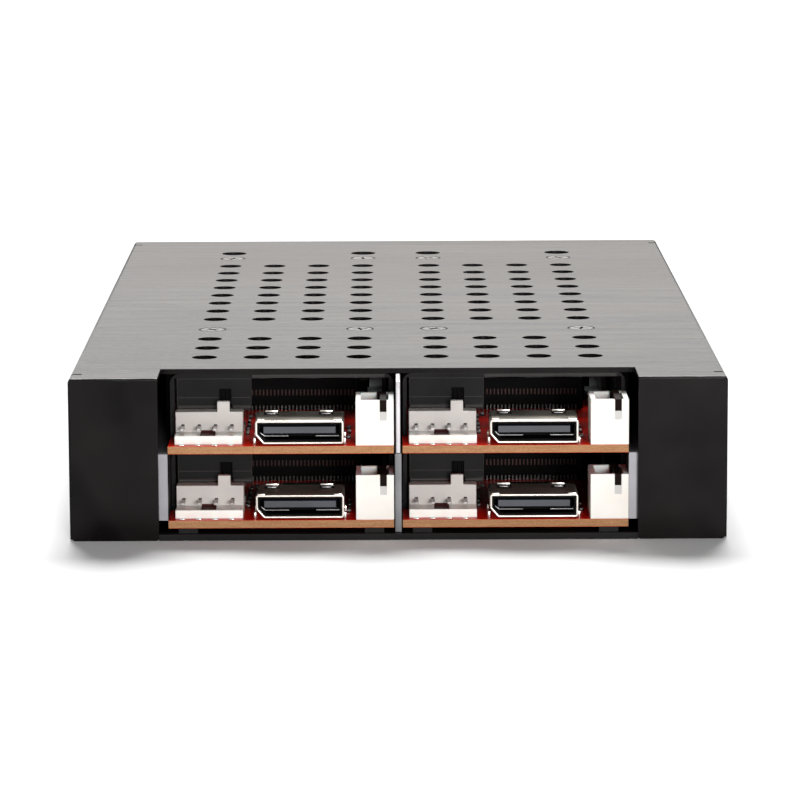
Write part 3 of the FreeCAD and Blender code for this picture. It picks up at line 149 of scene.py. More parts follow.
class Graph:
    """Writes the node tree of one material around a Principled shader."""

    def __init__(self, name: str) -> None:
        """Starts a material with its shader and output.

        Args:
            name: The material's name.
        """
        self.material = bpy.data.materials.new(name)
        self.material.use_nodes = True
        self.tree = self.material.node_tree
        self.tree.nodes.clear()
        self.shader = self.add("ShaderNodeBsdfPrincipled")
        self.places = self.add("ShaderNodeTexCoord")
        self.add("ShaderNodeOutputMaterial", Surface=self.shader.outputs["BSDF"])

    def feed(self, node: bpy.types.Node, inputs: dict[str | int, object]) -> None:
        """Sets or links inputs of a node.

        Args:
            node: The node.
            inputs: A value or another node's socket for each input, by number or by name, with
                underscores for spaces.
        """
        for key, value in inputs.items():
            socket = node.inputs[key.replace("_", " ").replace("Ior", "IOR") if isinstance(key, str) else key]
            if isinstance(value, Socket):
                self.tree.links.new(value, socket)
            else:
                socket.default_value = value

    def add(self, kind: str, **inputs: object) -> bpy.types.Node:
        """Adds a node of one kind with its inputs.

        Args:
            kind: The node's type.
            inputs: What its inputs get, each by its name.

        Returns:
            The node.
        """
        node = self.tree.nodes.new(kind)
        self.feed(node, inputs)
        return node

    def surface(self, **inputs: object) -> None:
        """Sets or links inputs of the shader."""
        self.feed(self.shader, inputs)

    def spots(self, scale: Point = (1.0, 1.0, 1.0), shift: Point = (0.0, 0.0, 0.0)) -> Socket:
        """Gives object coordinates in millimetres, stretched and shifted.

        Args:
            scale: How many pattern units one millimetre holds along each axis.
            shift: Where the pattern starts.

        Returns:
            The mapped coordinates.
        """
        return self.add("ShaderNodeMapping", Vector=self.places.outputs["Object"], Location=shift,
                        Scale=[value / MILLIMETRE for value in scale]).outputs["Vector"]

    def noise(self, scale: Point, shift: Point = (0.0, 0.0, 0.0), detail: float = 2.0,
              roughness: float = 0.5) -> Socket:
        """Adds cloudy noise over the object.

        Args:
            scale: How many clouds one millimetre holds along each axis.
            shift: Where the pattern starts.
            detail: How many finer layers it has.
            roughness: How strong they are.

        Returns:
            Its grey value.
        """
        return self.add("ShaderNodeTexNoise", Vector=self.spots(scale, shift), Scale=1.0, Detail=detail,
                        Roughness=roughness).outputs["Fac"]

    def spread(self, value: Socket, start: Pair, end: Pair = (0.0, 1.0)) -> Socket:
        """Maps one range of a value onto another.

        Args:
            value: The value to map.
            start: The range it has.
            end: The range it gets.

        Returns:
            The mapped value, held inside the new range.
        """
        return self.add("ShaderNodeMapRange", Value=value, From_Min=start[0], From_Max=start[1],
                        To_Min=end[0], To_Max=end[1]).outputs["Result"]

    def maths(self, operation: str, first: object, second: object = 0.0) -> Socket:
        """Works out one sum on two values.

        Args:
            operation: The name of the sum.
            first: The first value.
            second: The second value.

        Returns:
            The result.
        """
        node = self.add("ShaderNodeMath")
        node.operation = operation
        self.feed(node, {0: first, 1: second})
        return node.outputs[0]

    def weigh(self, first: Socket, second: Socket, share: float) -> Socket:
        """Adds up a share of one value and the rest of another."""
        return self.maths("ADD", self.maths("MULTIPLY", first, share), self.maths("MULTIPLY", second, 1.0 - share))

    def blend(self, factor: object, first: object, second: object) -> Socket:
        """Mixes two colours and returns the result.

        Args:
            factor: The share of the second colour.
            first: The first colour.
            second: The second colour.

        Returns:
            The mixed colour.
        """
        node = self.add("ShaderNodeMix")
        node.data_type = "RGBA"
        self.feed(node, {0: factor, 6: first, 7: second})
        return node.outputs[2]

    def tones(self, factor: Socket, dark: Colour, light: Colour) -> Socket:
        """Mixes two screen colours and returns the result."""
        return self.blend(factor, shade(dark), shade(light))

    def part(self, vector: Socket, axis: str) -> Socket:
        """Takes one coordinate out of a vector."""
        return self.add("ShaderNodeSeparateXYZ", Vector=vector).outputs[axis]

    def facing(self, axis: str) -> Socket:
        """Tells the faces that look along an axis of the object from the rest."""
        along = self.maths("ABSOLUTE", self.part(self.places.outputs["Normal"], axis))
        return self.maths("GREATER_THAN", along, 0.6)

    def bump(self, height: Socket, strength: float, depth: float) -> bpy.types.Material:
        """Roughens the surface by a height pattern, as the last step.

        Args:
            height: The pattern, from 0 to 1.
            strength: How strongly it shows.
            depth: Its depth in millimetres.

        Returns:
            The finished material.
        """
        node = self.add("ShaderNodeBump", Strength=strength, Distance=depth * MILLIMETRE, Height=height)
        self.surface(Normal=node.outputs["Normal"])
        return self.material


@dataclass(frozen=True)
class TwoToned:
    """What the finishes share that vary between two colours and two roughnesses."""

    name: str
    dark: Colour
    light: Colour
    roughness: Pair


@dataclass(frozen=True)
class BrushedAnodised(TwoToned):
    """Dark anodised sheet with a straight brushed grain across the cage, duller towards its front."""

    index: float
    metallic: float
    fade: float

    def build(self) -> bpy.types.Material:
        """Writes the material.

        Returns:
            The finished material.
        """
        graph = Graph(self.name)
        fine = graph.noise((0.03, 3.0, 0.03), detail=3.0, roughness=0.7)
        broad = graph.noise((0.022, 0.42, 0.022), (3.0, 7.0, 1.0), 4.0, 0.8)
        cloud = graph.noise((0.012, 0.03, 0.012))
        scratch = graph.spread(graph.noise((0.05, 1.3, 0.05), (9.0, 2.0, 5.0)), (0.6, 0.72), (0.0, 0.9))
        sharp = graph.maths("SUBTRACT", graph.spread(graph.weigh(fine, broad, 0.5), (0.38, 0.62)), scratch)
        away = graph.spread(graph.part(graph.spots(), "Y"), (-60.0, 88.0), (0.0, self.fade))
        rough = graph.spread(graph.maths("ADD", sharp, cloud), (0.3, 1.3), self.roughness)
        graph.surface(Base_Color=graph.tones(sharp, self.dark, self.light), Ior=self.index,
                      Metallic=self.metallic, Roughness=graph.maths("ADD", away, rough))
        return graph.bump(graph.weigh(fine, broad, 0.12), 1.0, 0.12)


@dataclass(frozen=True)
class SatinPaint(TwoToned):
    """Thin satin paint on sheet metal, with a faint orange peel and rubbed patches."""

    index: float = 1.2

    def build(self) -> bpy.types.Material:
        """Writes the material.

        Returns:
            The finished material.
        """
        graph = Graph(self.name)
        rubbed = graph.noise((0.09, 0.09, 0.09), (2.0, 5.0, 9.0), 4.0, 0.6)
        graph.surface(Base_Color=graph.tones(rubbed, self.dark, self.light), Ior=self.index,
                      Roughness=graph.spread(rubbed, (0.35, 0.65), self.roughness))
        return graph.bump(graph.noise((2.2, 2.2, 2.2)), 0.1, 0.02)


@dataclass(frozen=True)
class MilledMetal(TwoToned):
    """Bare or plated metal with fine tool lines along one axis."""

    lines: Point
    metallic: float = 1.0
    strength: float = 0.2

    def build(self) -> bpy.types.Material:
        """Writes the material.

        Returns:
            The finished material.
        """
        graph = Graph(self.name)
        lines = graph.noise(self.lines, detail=3.0, roughness=0.65)
        stain = graph.noise((0.11, 0.11, 0.11), (4.0, 1.0, 6.0), 4.0)
        graph.surface(Base_Color=graph.tones(graph.spread(stain, (0.3, 0.7)), self.dark, self.light),
                      Metallic=self.metallic, Roughness=graph.spread(lines, (0.3, 0.7), self.roughness))
        return graph.bump(lines, self.strength, 0.015)


@dataclass(frozen=True)
class RailMetal:
    """Milled rail: bare on its ends and ledges, black on its upright sides."""

    name: str = "rail_bare_and_black"
    bare: Colour = (136, 134, 138)
    black: Colour = (30, 29, 29)
    stained: float = 0.86
    metallic: float = 0.55

    def build(self) -> bpy.types.Material:
        """Writes the material.

        Returns:
            The finished material.
        """
        graph = Graph(self.name)
        side = graph.facing("X")
        lines = graph.noise((0.05, 0.05, 6.0), detail=3.0)
        bare = graph.blend(graph.noise((0.3, 0.3, 0.3), detail=4.0),
                           shade([self.stained * value for value in self.bare]), shade(self.bare))
        graph.surface(Base_Color=graph.blend(side, bare, shade(self.black)),
                      Metallic=graph.maths("SUBTRACT", self.metallic, graph.maths("MULTIPLY", side, self.metallic)),
                      Roughness=graph.spread(lines, (0.3, 0.7), (0.34, 0.5)))
        return graph.bump(lines, 0.2, 0.015)


@dataclass(frozen=True)
class BoardLaminate:
    """Circuit board: solder mask over tracks on its faces, layered glass cloth on its sawn edges."""

    name: str = "board_laminate"
    mask: Colour = (196, 15, 2)
    track: Colour = (226, 36, 8)
    cloth: Colour = (184, 138, 99)
    resin: Colour = (148, 104, 71)
    index: float = 1.2

    def build(self) -> bpy.types.Material:
        """Writes the material.

        Returns:
            The finished material.
        """
        graph = Graph(self.name)
        flat = graph.facing("Z")
        tracks = graph.add("ShaderNodeTexBrick", Vector=graph.spots((0.9, 0.45, 0.45)), Scale=1.0, Mortar_Size=0.16,
                           Mortar_Smooth=0.15, Brick_Width=2.6, Row_Height=0.42).outputs["Fac"]
        copper = graph.tones(graph.maths("MULTIPLY", tracks, 0.55), self.mask, self.track)
        layers = graph.noise((0.35, 0.35, 9.0), detail=3.0, roughness=0.6)
        mottle = graph.noise((3.2, 3.2, 3.2), detail=3.0, roughness=0.7)
        edge = graph.tones(graph.spread(graph.maths("MULTIPLY", layers, mottle), (0.12, 0.38)), self.resin, self.cloth)
        graph.surface(Base_Color=graph.blend(flat, edge, copper), Ior=self.index,
                      Roughness=graph.spread(flat, (0.0, 1.0), (0.75, 0.24)))
        return graph.bump(graph.maths("ADD", tracks, mottle), 0.15, 0.03)


@dataclass(frozen=True)
class MouldedPlastic(TwoToned):
    """Moulded plastic with a fine spark grain and a slow change of tone."""

    grain: float
    depth: float = 0.02
    strength: float = 0.25
    glow: float = 0.0
    index: float = 1.49

    def build(self) -> bpy.types.Material:
        """Writes the material.

        Returns:
            The finished material.
        """
        graph = Graph(self.name)
        grain = graph.noise((self.grain,) * 3, detail=3.0, roughness=0.6)
        slow = graph.spread(graph.noise((0.12, 0.12, 0.12), (1.0, 2.0, 3.0)), (0.3, 0.7))
        graph.surface(Base_Color=graph.tones(slow, self.dark, self.light), Ior=self.index,
                      Roughness=graph.spread(grain, (0.3, 0.7), self.roughness))
        if self.glow:
            graph.surface(Subsurface_Weight=self.glow, Subsurface_Scale=1.5 * MILLIMETRE)
        return graph.bump(grain, self.strength, self.depth)


@dataclass(frozen=True)
class ClearPlastic:
    """Frosted clear plastic of a light pipe."""

    name: str = "light_pipe_clear"
    tint: Colour = (150, 158, 163)
    clearness: float = 0.15

    def build(self) -> bpy.types.Material:
        """Writes the material.

        Returns:
            The finished material.
        """
        graph = Graph(self.name)
        frost = graph.noise((5.0, 5.0, 5.0), detail=3.0)
        graph.surface(Base_Color=shade(self.tint), Transmission_Weight=self.clearness, Ior=1.49,
                      Roughness=graph.spread(frost, (0.3, 0.7), (0.18, 0.34)))
        return graph.bump(frost, 0.15, 0.02)


ALONG_SHELL, ALONG_DIVIDER, ALL_WAYS = (0.1, 0.3, 0.3), (0.05, 7.0, 0.3), (2.0, 2.0, 2.0)


class Finish(Enum):
    """Every finish of the cage."""

    # The top's lighter copy of the dark side finish is painted reflection.
    COVER_TOP = BrushedAnodised("anodised_brushed_top", (38, 34, 31), (68, 63, 59), (0.14, 0.42), 1.3, 0.5, 0.24)
    COVER_SIDE = BrushedAnodised("anodised_brushed_side", (9, 7, 7), (24, 20, 20), (0.16, 0.24), 1.19, 0.0, 0.24)
    BLACK_METAL = SatinPaint("satin_black", (11, 10, 10), (20, 18, 18), (0.3, 0.4))
    SLEEVE = SatinPaint("sleeve_black", (6, 4, 4), (13, 11, 11), (0.26, 0.36))
    # A lighter black for the flap's lip and thin edge lines: painted highlight.
    LIP = SatinPaint("lip_black", (42, 39, 38), (54, 51, 50), (0.26, 0.36))
    RAIL = RailMetal()
    DIVIDER = MilledMetal("divider_bare", (138, 135, 137), (184, 181, 183), (0.34, 0.5), ALONG_DIVIDER, 0.6)
    # A darker copy of the bare divider finish: painted shade on the lower divider.
    LOWER_DIVIDER = MilledMetal("divider_dull", (86, 86, 88), (116, 116, 118), (0.34, 0.5), ALONG_DIVIDER, 0.6)
    TRAY = MilledMetal("tray_satin", (30, 30, 31), (46, 46, 48), (0.34, 0.48), (0.05, 5.0, 5.0), 0.6)
    STEEL = MilledMetal("screw_plated", (74, 70, 66), (116, 111, 106), (0.24, 0.38), (0.9, 0.9, 0.9), 0.5, 0.08)
    CONTACT = MilledMetal("contact_gold", (206, 160, 84), (232, 194, 118), (0.2, 0.34), ALL_WAYS)
    # A near-black copy of the gold: painted shade on contacts deep in the bay.
    DULL_CONTACT = MilledMetal("contact_dull", (34, 17, 13), (54, 28, 22), (0.3, 0.45), ALL_WAYS, 0.7)
    # Dull tin, darkened further as painted shade for the comb's tails deep in the bay.
    DULL_TIN = MilledMetal("tail_dull", (66, 62, 60), (104, 100, 98), (0.28, 0.42), ALL_WAYS, 0.7)
    PIN_TIN = MilledMetal("pin_tin", (138, 134, 132), (170, 166, 163), (0.34, 0.46), (0.8, 0.8, 0.8), 0.6, 0.05)
    TIN = MilledMetal("solder_tin", (188, 188, 188), (228, 228, 228), (0.16, 0.3), (0.8, 0.8, 0.8), 0.9, 0.05)
    SHELL = MilledMetal("shell_nickel", (196, 190, 181), (226, 220, 211), (0.24, 0.32), ALONG_SHELL, 0.85, 0.03)
    SHELL_TOP = MilledMetal("shell_shaded", (142, 136, 126), (190, 183, 172), (0.3, 0.42), ALONG_SHELL, 0.85, 0.03)
    BOARD = BoardLaminate()
    CARRIER = BoardLaminate("board_black", (14, 14, 15), (22, 22, 23), (26, 24, 22), (18, 17, 16))
    NYLON = MouldedPlastic("nylon_white", (232, 224, 216), (246, 241, 235), (0.3, 0.42), 3.0, 0.015, 0.12, 0.12)
    # A greyer copy of the white nylon: painted shade on the header wall.
    HEADER_WALL = MouldedPlastic("nylon_wall", (176, 169, 165), (192, 186, 181), (0.34, 0.44), 3.0, 0.015, 0.12, 0.08)
    # A greyer nylon for faces the light can't reach: painted shade.
    PALE_NYLON = MouldedPlastic("nylon_inner", (210, 207, 204), (222, 219, 216), (0.5, 0.6), 3.0, 0.015, 0.12, 0.3, 1.3)
    GREY_NYLON = MouldedPlastic("nylon_shaded", (186, 183, 180), (198, 195, 192), (0.35, 0.45), 3.0, 0.015, 0.12)
    # Dark red for the header window: painted shade over the board seen through it.
    WINDOW_RED = MouldedPlastic("window_red", (42, 4, 3), (60, 8, 6), (0.5, 0.6), 3.0, index=1.2)
    # Near black for the screws' cross recesses: painted shade.
    RECESS = MouldedPlastic("recess_dark", (20, 19, 18), (32, 30, 29), (0.5, 0.6), 3.0, index=1.2)
    # Near-black brown for plates put where slots show only shadow: painted shadow.
    SHADOW = MouldedPlastic("slot_brown", (16, 7, 5), (24, 11, 8), (0.6, 0.7), 3.0, index=1.15)
    DARK_INSERT = MouldedPlastic("insert_dark", (28, 31, 38), (48, 52, 62), (0.32, 0.45), 4.0, 0.015, 0.15)
    COMB = MouldedPlastic("comb_black", (4, 3, 3), (8, 6, 6), (0.36, 0.48), 4.0, index=1.1)
    CHIP = MouldedPlastic("chip_black", (20, 20, 21), (30, 30, 31), (0.5, 0.62), 5.0)
    CERAMIC = MouldedPlastic("capacitor_ceramic", (150, 118, 84), (182, 150, 112), (0.4, 0.55), 5.0)
    BEZEL = MouldedPlastic("bezel_grain", (38, 38, 40), (50, 50, 52), (0.42, 0.58), 5.0, 0.03, 0.35)
    LEVER = MouldedPlastic("lever_grain", (58, 58, 61), (72, 72, 75), (0.4, 0.55), 5.0, 0.03, 0.35)
    BUTTON = MouldedPlastic("button_grain", (118, 122, 126), (134, 138, 142), (0.36, 0.5), 5.0, 0.03, 0.3)
    CLIP = MouldedPlastic("clip_plain", (80, 80, 81), (94, 94, 95), (0.34, 0.46), 3.0)
    LIGHT_PIPE = ClearPlastic()

    def material(self) -> bpy.types.Material:
        """Gives this finish's material, written the first time it is asked for."""
        return bpy.data.materials.get(self.value.name) or self.value.build()


# Mesh making

@dataclass(frozen=True)
class Edging:
    """How the sharp edges of a shape are softened."""

    width: float
    segments: int
    angle: float = 28.0


class Axis(Enum):
    """The axes that a turned shape can stand on, each as a turn away from Z."""

    X = (90.0, "Y")
    Y = (-90.0, "X")

    def tilt(self) -> Matrix:
        """Gives the turn as a matrix."""
        return Matrix.Rotation(math.radians(self.value[0]), 4, self.value[1])


def bevel(mesh: bmesh.types.BMesh, edges: list[bmesh.types.BMEdge], width: float, segments: int) -> None:
    """Rounds edges of a mesh.

    Args:
        mesh: The mesh.
        edges: The edges to round.
        width: How far from the edge the rounding starts.
        segments: How many faces it gets.
    """
    bmesh.ops.bevel(mesh, geom=edges, offset=width, offset_type="OFFSET", segments=segments, profile=0.5,
                    affect="EDGES", clamp_overlap=True, material=-1)


def turned_rings(mesh: bmesh.types.BMesh, profile: Sequence[Pair], place: Matrix, sides: int,
                 inner: Sequence[list[bmesh.types.BMEdge]] = ()) -> list[list[bmesh.types.BMVert]]:
    """Adds rings joined one to the next.

    Args:
        mesh: The mesh they go into.
        profile: Radius and height of each ring.
        place: Where height 0 is, and the way up.
        sides: The number of sides.
        inner: Closed loops of edges that come before the first ring.

    Returns:
        The vertices of each ring.
    """
    rings = [bmesh.ops.create_circle(mesh, segments=sides, radius=radius,
                                     matrix=place @ Matrix.Translation((0.0, 0.0, height)))["verts"]
             for radius, height in profile]
    loops = [*inner, *(list({edge for vert in ring for edge in vert.link_edges}) for ring in rings)]
    for first, second in zip(loops, loops[1:]):
        bmesh.ops.bridge_loops(mesh, edges=first + second)
    return rings


def face_outwards(mesh: bmesh.types.BMesh, verts: Iterable[bmesh.types.BMVert]) -> None:
    """Turns the faces round some vertices outwards."""
    bmesh.ops.recalc_face_normals(mesh, faces=list({face for vert in verts for face in vert.link_faces}))


class Shape:
    """A mesh in the making, in millimetres."""

    def __init__(self) -> None:
        """Starts with an empty mesh."""
        self.mesh = bmesh.new()

    def soften(self, edging: Edging, verts: Iterable[bmesh.types.BMVert] | None = None,
               keep: Callable[[bmesh.types.BMEdge], bool] | None = None) -> None:
        """Bevels the sharp edges.

        Args:
            edging: Width, segments and the smallest angle that counts as sharp.
            verts: The vertices to look at, or None for all.
            keep: A test that an edge has to pass, or None for all.
        """
        pool = set(self.mesh.verts if verts is None else verts)
        sharp = [edge for edge in self.mesh.edges
                 if edge.is_manifold and edge.verts[0] in pool and edge.verts[1] in pool
                 and edge.calc_face_angle(0.0) > math.radians(edging.angle)
                 and (keep is None or keep(edge))]
        bevel(self.mesh, sharp, edging.width, edging.segments)

    def block(self, bay: Bay, across: Pair, along: Pair, up: Pair, edging: Edging | None = None) -> None:
        """Adds a box in a bay.

        Args:
            bay: The bay it is in.
            across: Where it starts and ends across the bay.
            along: Where it starts and ends along the bay.
            up: Where it starts and ends above the board.
            edging: How its edges are softened, or None for sharp ones.
        """
        low, high = (Vector(bay.at(*corner)) for corner in zip(across, along, up))
        place = Matrix.Translation((low + high) / 2.0) @ Matrix.Diagonal((*(high - low), 1.0))
        verts = bmesh.ops.create_cube(self.mesh, size=1.0, matrix=place)["verts"]
        if edging:
            self.soften(edging, verts)

    def prism(self, outline: Sequence[Point], depth: float) -> None:
        """Adds a flat upright outline drawn out towards the front.

        Args:
            outline: The corners of the outline.
            depth: How far it is drawn out.
        """
        start = [self.mesh.verts.new(point) for point in outline]
        made = bmesh.ops.extrude_face_region(self.mesh, geom=[self.mesh.faces.new(start)])["geom"]
        end = [item for item in made if isinstance(item, bmesh.types.BMVert)]
        bmesh.ops.translate(self.mesh, verts=end, vec=(0.0, depth, 0.0))
        face_outwards(self.mesh, start + end)

    def sink(self, mouth: float, rim: float, depth: float) -> None:
        """Hollows out the end that faces the rear.

        Args:
            mouth: Where that end lies along the cage.
            rim: The width of the rim that is left round the hollow.
            depth: How deep the hollow goes.
        """
        end = min(self.mesh.faces, key=lambda face: face.calc_center_median().y)
        bmesh.ops.inset_region(self.mesh, faces=[end], thickness=rim, use_even_offset=True)
        inner = max((face for face in self.mesh.faces
                     if abs(face.normal.y) > 0.9 and face.calc_center_median().y < mouth + 0.05),
                    key=lambda face: face.calc_area())
        inner = bmesh.ops.extrude_discrete_faces(self.mesh, faces=[inner])["faces"][0]
        bmesh.ops.translate(self.mesh, verts=inner.verts, vec=(0.0, depth, 0.0))

    def turned(self, profile: Sequence[Pair], centre: Point, axis: Axis, sides: int) -> None:
        """Adds a closed round shape: rings joined one to the next, with both ends filled.

        Args:
            profile: Radius and height of each ring, from the first end to the last.
            centre: Where height 0 is.
            axis: The axis it stands on.
            sides: The number of sides.
        """
        rings = turned_rings(self.mesh, profile, Matrix.Translation(centre) @ axis.tilt(), sides)
        for ring in (rings[0], rings[-1]):
            self.mesh.faces.new(ring)
        face_outwards(self.mesh, [vert for ring in rings for vert in ring])

    def copy_node(self, node: str) -> "Shape":
        """Takes over a solid of the frame, merged and with its flat faces joined.

        Args:
            node: The solid's name.

        Returns:
            This shape.
        """
        mesh = self.mesh
        mesh.from_mesh(frame["nodes"][node].data)
        bmesh.ops.scale(mesh, verts=mesh.verts, vec=(1.0 / MILLIMETRE,) * 3)
        bmesh.ops.translate(mesh, verts=mesh.verts, vec=(0.0, -REAR_PLANE, 0.0))
        bmesh.ops.remove_doubles(mesh, verts=mesh.verts, dist=0.001)
        bmesh.ops.dissolve_limit(mesh, angle_limit=math.radians(1.0), verts=mesh.verts, edges=mesh.edges,
                                 delimit=set())
        return self

    def close(self, name: str, finish: Finish, slot: str, stands_for: Sequence[str] = (),
              body: str = "cage") -> bpy.types.Object:
        """Turns the shape into a finished piece at its place.

        Args:
            name: The piece's name.
            finish: Its finish.
            slot: Not used.
            stands_for: The solids that it replaces.
            body: The body it rides on.

        Returns:
            The finished object.
        """
        mesh = self.mesh
        bmesh.ops.translate(mesh, verts=mesh.verts, vec=(0.0, REAR_PLANE, 0.0))
        bmesh.ops.scale(mesh, verts=mesh.verts, vec=(MILLIMETRE,) * 3)
        for face in mesh.faces:
            face.smooth = True
        data = bpy.data.meshes.new(name)
        mesh.to_mesh(data)
        mesh.free()
        data.set_sharp_from_angle(angle=SHARP_ANGLE)
        data.materials.append(finish.material())
        piece = bpy.data.objects.new(name, data)
        bpy.context.scene.collection.objects.link(piece)
        piece.modifiers.new("even_shading", "WEIGHTED_NORMAL").keep_sharp = True
        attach(piece, body)
        if stands_for:
            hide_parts(*stands_for)
        LOG.info("%s: %d faces on %s", name, len(data.polygons), body)
        return piece


def paint_faces(piece: bpy.types.Object, finish: Finish,
                test: Callable[[bpy.types.MeshPolygon], bool]) -> None:
    """Gives some of a piece's faces a finish of their own.

    Args:
        piece: The finished piece.
        finish: The second finish.
        test: Which faces get it.
    """
    piece.data.materials.append(finish.material())
    last = len(piece.data.materials) - 1
    for face in piece.data.polygons:
        if test(face):
            face.material_index = last


def soft_copy(node: str, name: str, finish: Finish, slot: str, edging: Edging) -> bpy.types.Object:
    """Replaces a solid by the same shape with softened edges.

    Args:
        node: The solid's name.
        name: The new piece's name.
        finish: Its finish.
        slot: The record's material slot.
        edging: How its edges are softened.

    Returns:
        The new piece.
    """
    shape = Shape().copy_node(node)
    shape.soften(edging)
    return shape.close(name, finish, slot, [node], frame["nodes"][node]["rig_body"])


# Sub-assemblies

@dataclass(frozen=True)
class Cover:
    """The brushed cover with its vents, folded sides and rear flanges."""

    vent_sides: int = 16
    vent_radius: float = 2.0
    side_inner: float = 49.95
    side_foot: Pair = (1.5, 2.7)
    side_end: float = 0.12
    soft_above: float = 1.0
    same_length: float = 0.02
    upright: float = 0.05
    flat: float = 0.95
    level: float = 0.97
    edging: Edging = Edging(0.1, 2)

    def rims(self, mesh: bmesh.types.BMesh) -> list[bmesh.types.BMEdge]:
        """Finds the edges of the vents' rims by their length and the tilt of their faces.

        Args:
            mesh: The cover's mesh.

        Returns:
            The edges.
        """
        length = 2.0 * self.vent_radius * math.sin(math.pi / self.vent_sides)
        found = []
        for edge in mesh.edges:
            if abs(edge.calc_length() - length) < self.same_length and edge.is_manifold:
                wall, top = sorted(abs(face.normal.z) for face in edge.link_faces)
                if wall < self.upright and top > self.flat:
                    found.append(edge)
        return found

    def round_vents(self, mesh: bmesh.types.BMesh) -> None:
        """Gives each vent twice its sides, on the same circle.

        Args:
            mesh: The cover's mesh.
        """
        rims = self.rims(mesh)
        bulge = self.vent_radius * (1.0 - math.cos(math.pi / self.vent_sides))
        moves = {}
        for edge in rims:
            wall = min(edge.link_faces, key=lambda face: abs(face.normal.z))
            middle = (edge.verts[0].co + edge.verts[1].co) / 2.0
            key = tuple(round(value, 3) for value in middle)
            moves[key] = Vector((-wall.normal.x, -wall.normal.y, 0.0)).normalized() * bulge
        bmesh.ops.subdivide_edges(mesh, edges=rims, cuts=1, use_grid_fill=True)
        for vert in mesh.verts:
            vert.co += moves.get(tuple(round(value, 3) for value in vert.co), Vector())
        LOG.info("cover: %d rim edges rounded", len(rims))

    def build(self) -> None:
        """Builds the cover, with its sides brought down to the floor."""
        shape = Shape().copy_node("top_cover")
        self.round_vents(shape.mesh)
        for vert in shape.mesh.verts:
            if abs(vert.co.x) > self.side_inner and self.side_foot[0] < vert.co.z < self.side_foot[1]:
                vert.co.z = self.side_end
        shape.soften(self.edging, keep=lambda edge: max(vert.co.z for vert in edge.verts) > self.soft_above)
        skin = shape.close("cover_skin", Finish.COVER_SIDE, "cover", ["top_cover"])
        # Upward faces take the lighter top finish: painted reflection on the same dark sheet.
        paint_faces(skin, Finish.COVER_TOP, lambda face: face.normal.z > self.level)


@dataclass(frozen=True)
class Chassis:
    """The base plate, rails, dividers, shelf and front frame."""

    edging: Edging = Edging(0.12, 2)
    pieces: tuple[tuple[Finish, str, tuple[str, ...]], ...] = (
        (Finish.BLACK_METAL, "black_metal", ("base_plate", "mid_shelf", "front_frame", "upper_rail_left",
                                             "upper_rail_right")),
        (Finish.RAIL, "bare_metal", ("lower_rail_left", "lower_rail_right")),
        # The lower divider takes a darker copy of the bare finish as painted shade.
        (Finish.LOWER_DIVIDER, "bare_metal", ("lower_divider",)),
        (Finish.DIVIDER, "bare_metal", ("upper_divider",)))

    def build(self) -> None:
        """Builds each piece with softened edges."""
        for finish, slot, nodes in self.pieces:
            for node in nodes:
                soft_copy(node, f"{node}_skin", finish, slot, self.edging)


@dataclass(frozen=True)
class CrossScrew:
    """A screw with a cross recess in its head, which lies at height 0 and looks up."""

    rings: tuple[Pair, ...]
    sides: int = 24
    arm: float = 1.25
    arm_width: float = 0.46
    depth: float = 0.75
    taper: float = 0.55

    def add(self, shape: Shape, centre: Point, turn: float, upside_down: bool) -> None:
        """Adds one screw.

        Args:
            shape: The shape it goes into.
            centre: The middle of its head's face.
            turn: How far it is turned, in degrees.
            upside_down: Whether its head looks down.
        """
        mesh, half, arm = shape.mesh, self.arm_width / 2.0, self.arm
        outline = [Matrix.Rotation(math.radians(90.0 * index), 2) @ Vector(point) for index in range(4)
                   for point in ((arm, -half), (arm, half), (half, half))]
        recess = [mesh.verts.new((*point, self.rings[0][1])) for point in outline]
        edges = [mesh.edges.new(ends) for ends in zip(recess, recess[1:] + recess[:1])]
        rings = turned_rings(mesh, self.rings, Matrix.Identity(4), self.sides, [edges])
        mesh.faces.new(rings[-1])
        sunk = bmesh.ops.extrude_edge_only(mesh, edges=edges)["geom"]
        floor = [item for item in sunk if isinstance(item, bmesh.types.BMVert)]
        bmesh.ops.scale(mesh, verts=floor, vec=(self.taper, self.taper, 1.0))
        bmesh.ops.translate(mesh, verts=floor, vec=(0.0, 0.0, -self.depth))
        bmesh.ops.contextual_create(mesh, geom=[item for item in sunk if isinstance(item, bmesh.types.BMEdge)
                                                and item.verts[0] in floor and item.verts[1] in floor])
        verts = recess + floor + [vert for ring in rings for vert in ring]
        face_outwards(mesh, verts)
        place = Matrix.Translation(centre) @ Matrix.Rotation(math.radians(turn), 4, "Z")
        if upside_down:
            place = place @ Matrix.Rotation(math.pi, 4, "X")
        bmesh.ops.transform(mesh, matrix=place, verts=verts)


FLUSH_HEAD = ((1.94, 0.0), (2.03, -0.07), (2.07, -0.3), (2.1, -0.42), (1.25, -1.1))
PAN_HEAD = ((1.3, 1.0), (1.5, 0.92), (1.59, 0.75), (1.59, 0.0))


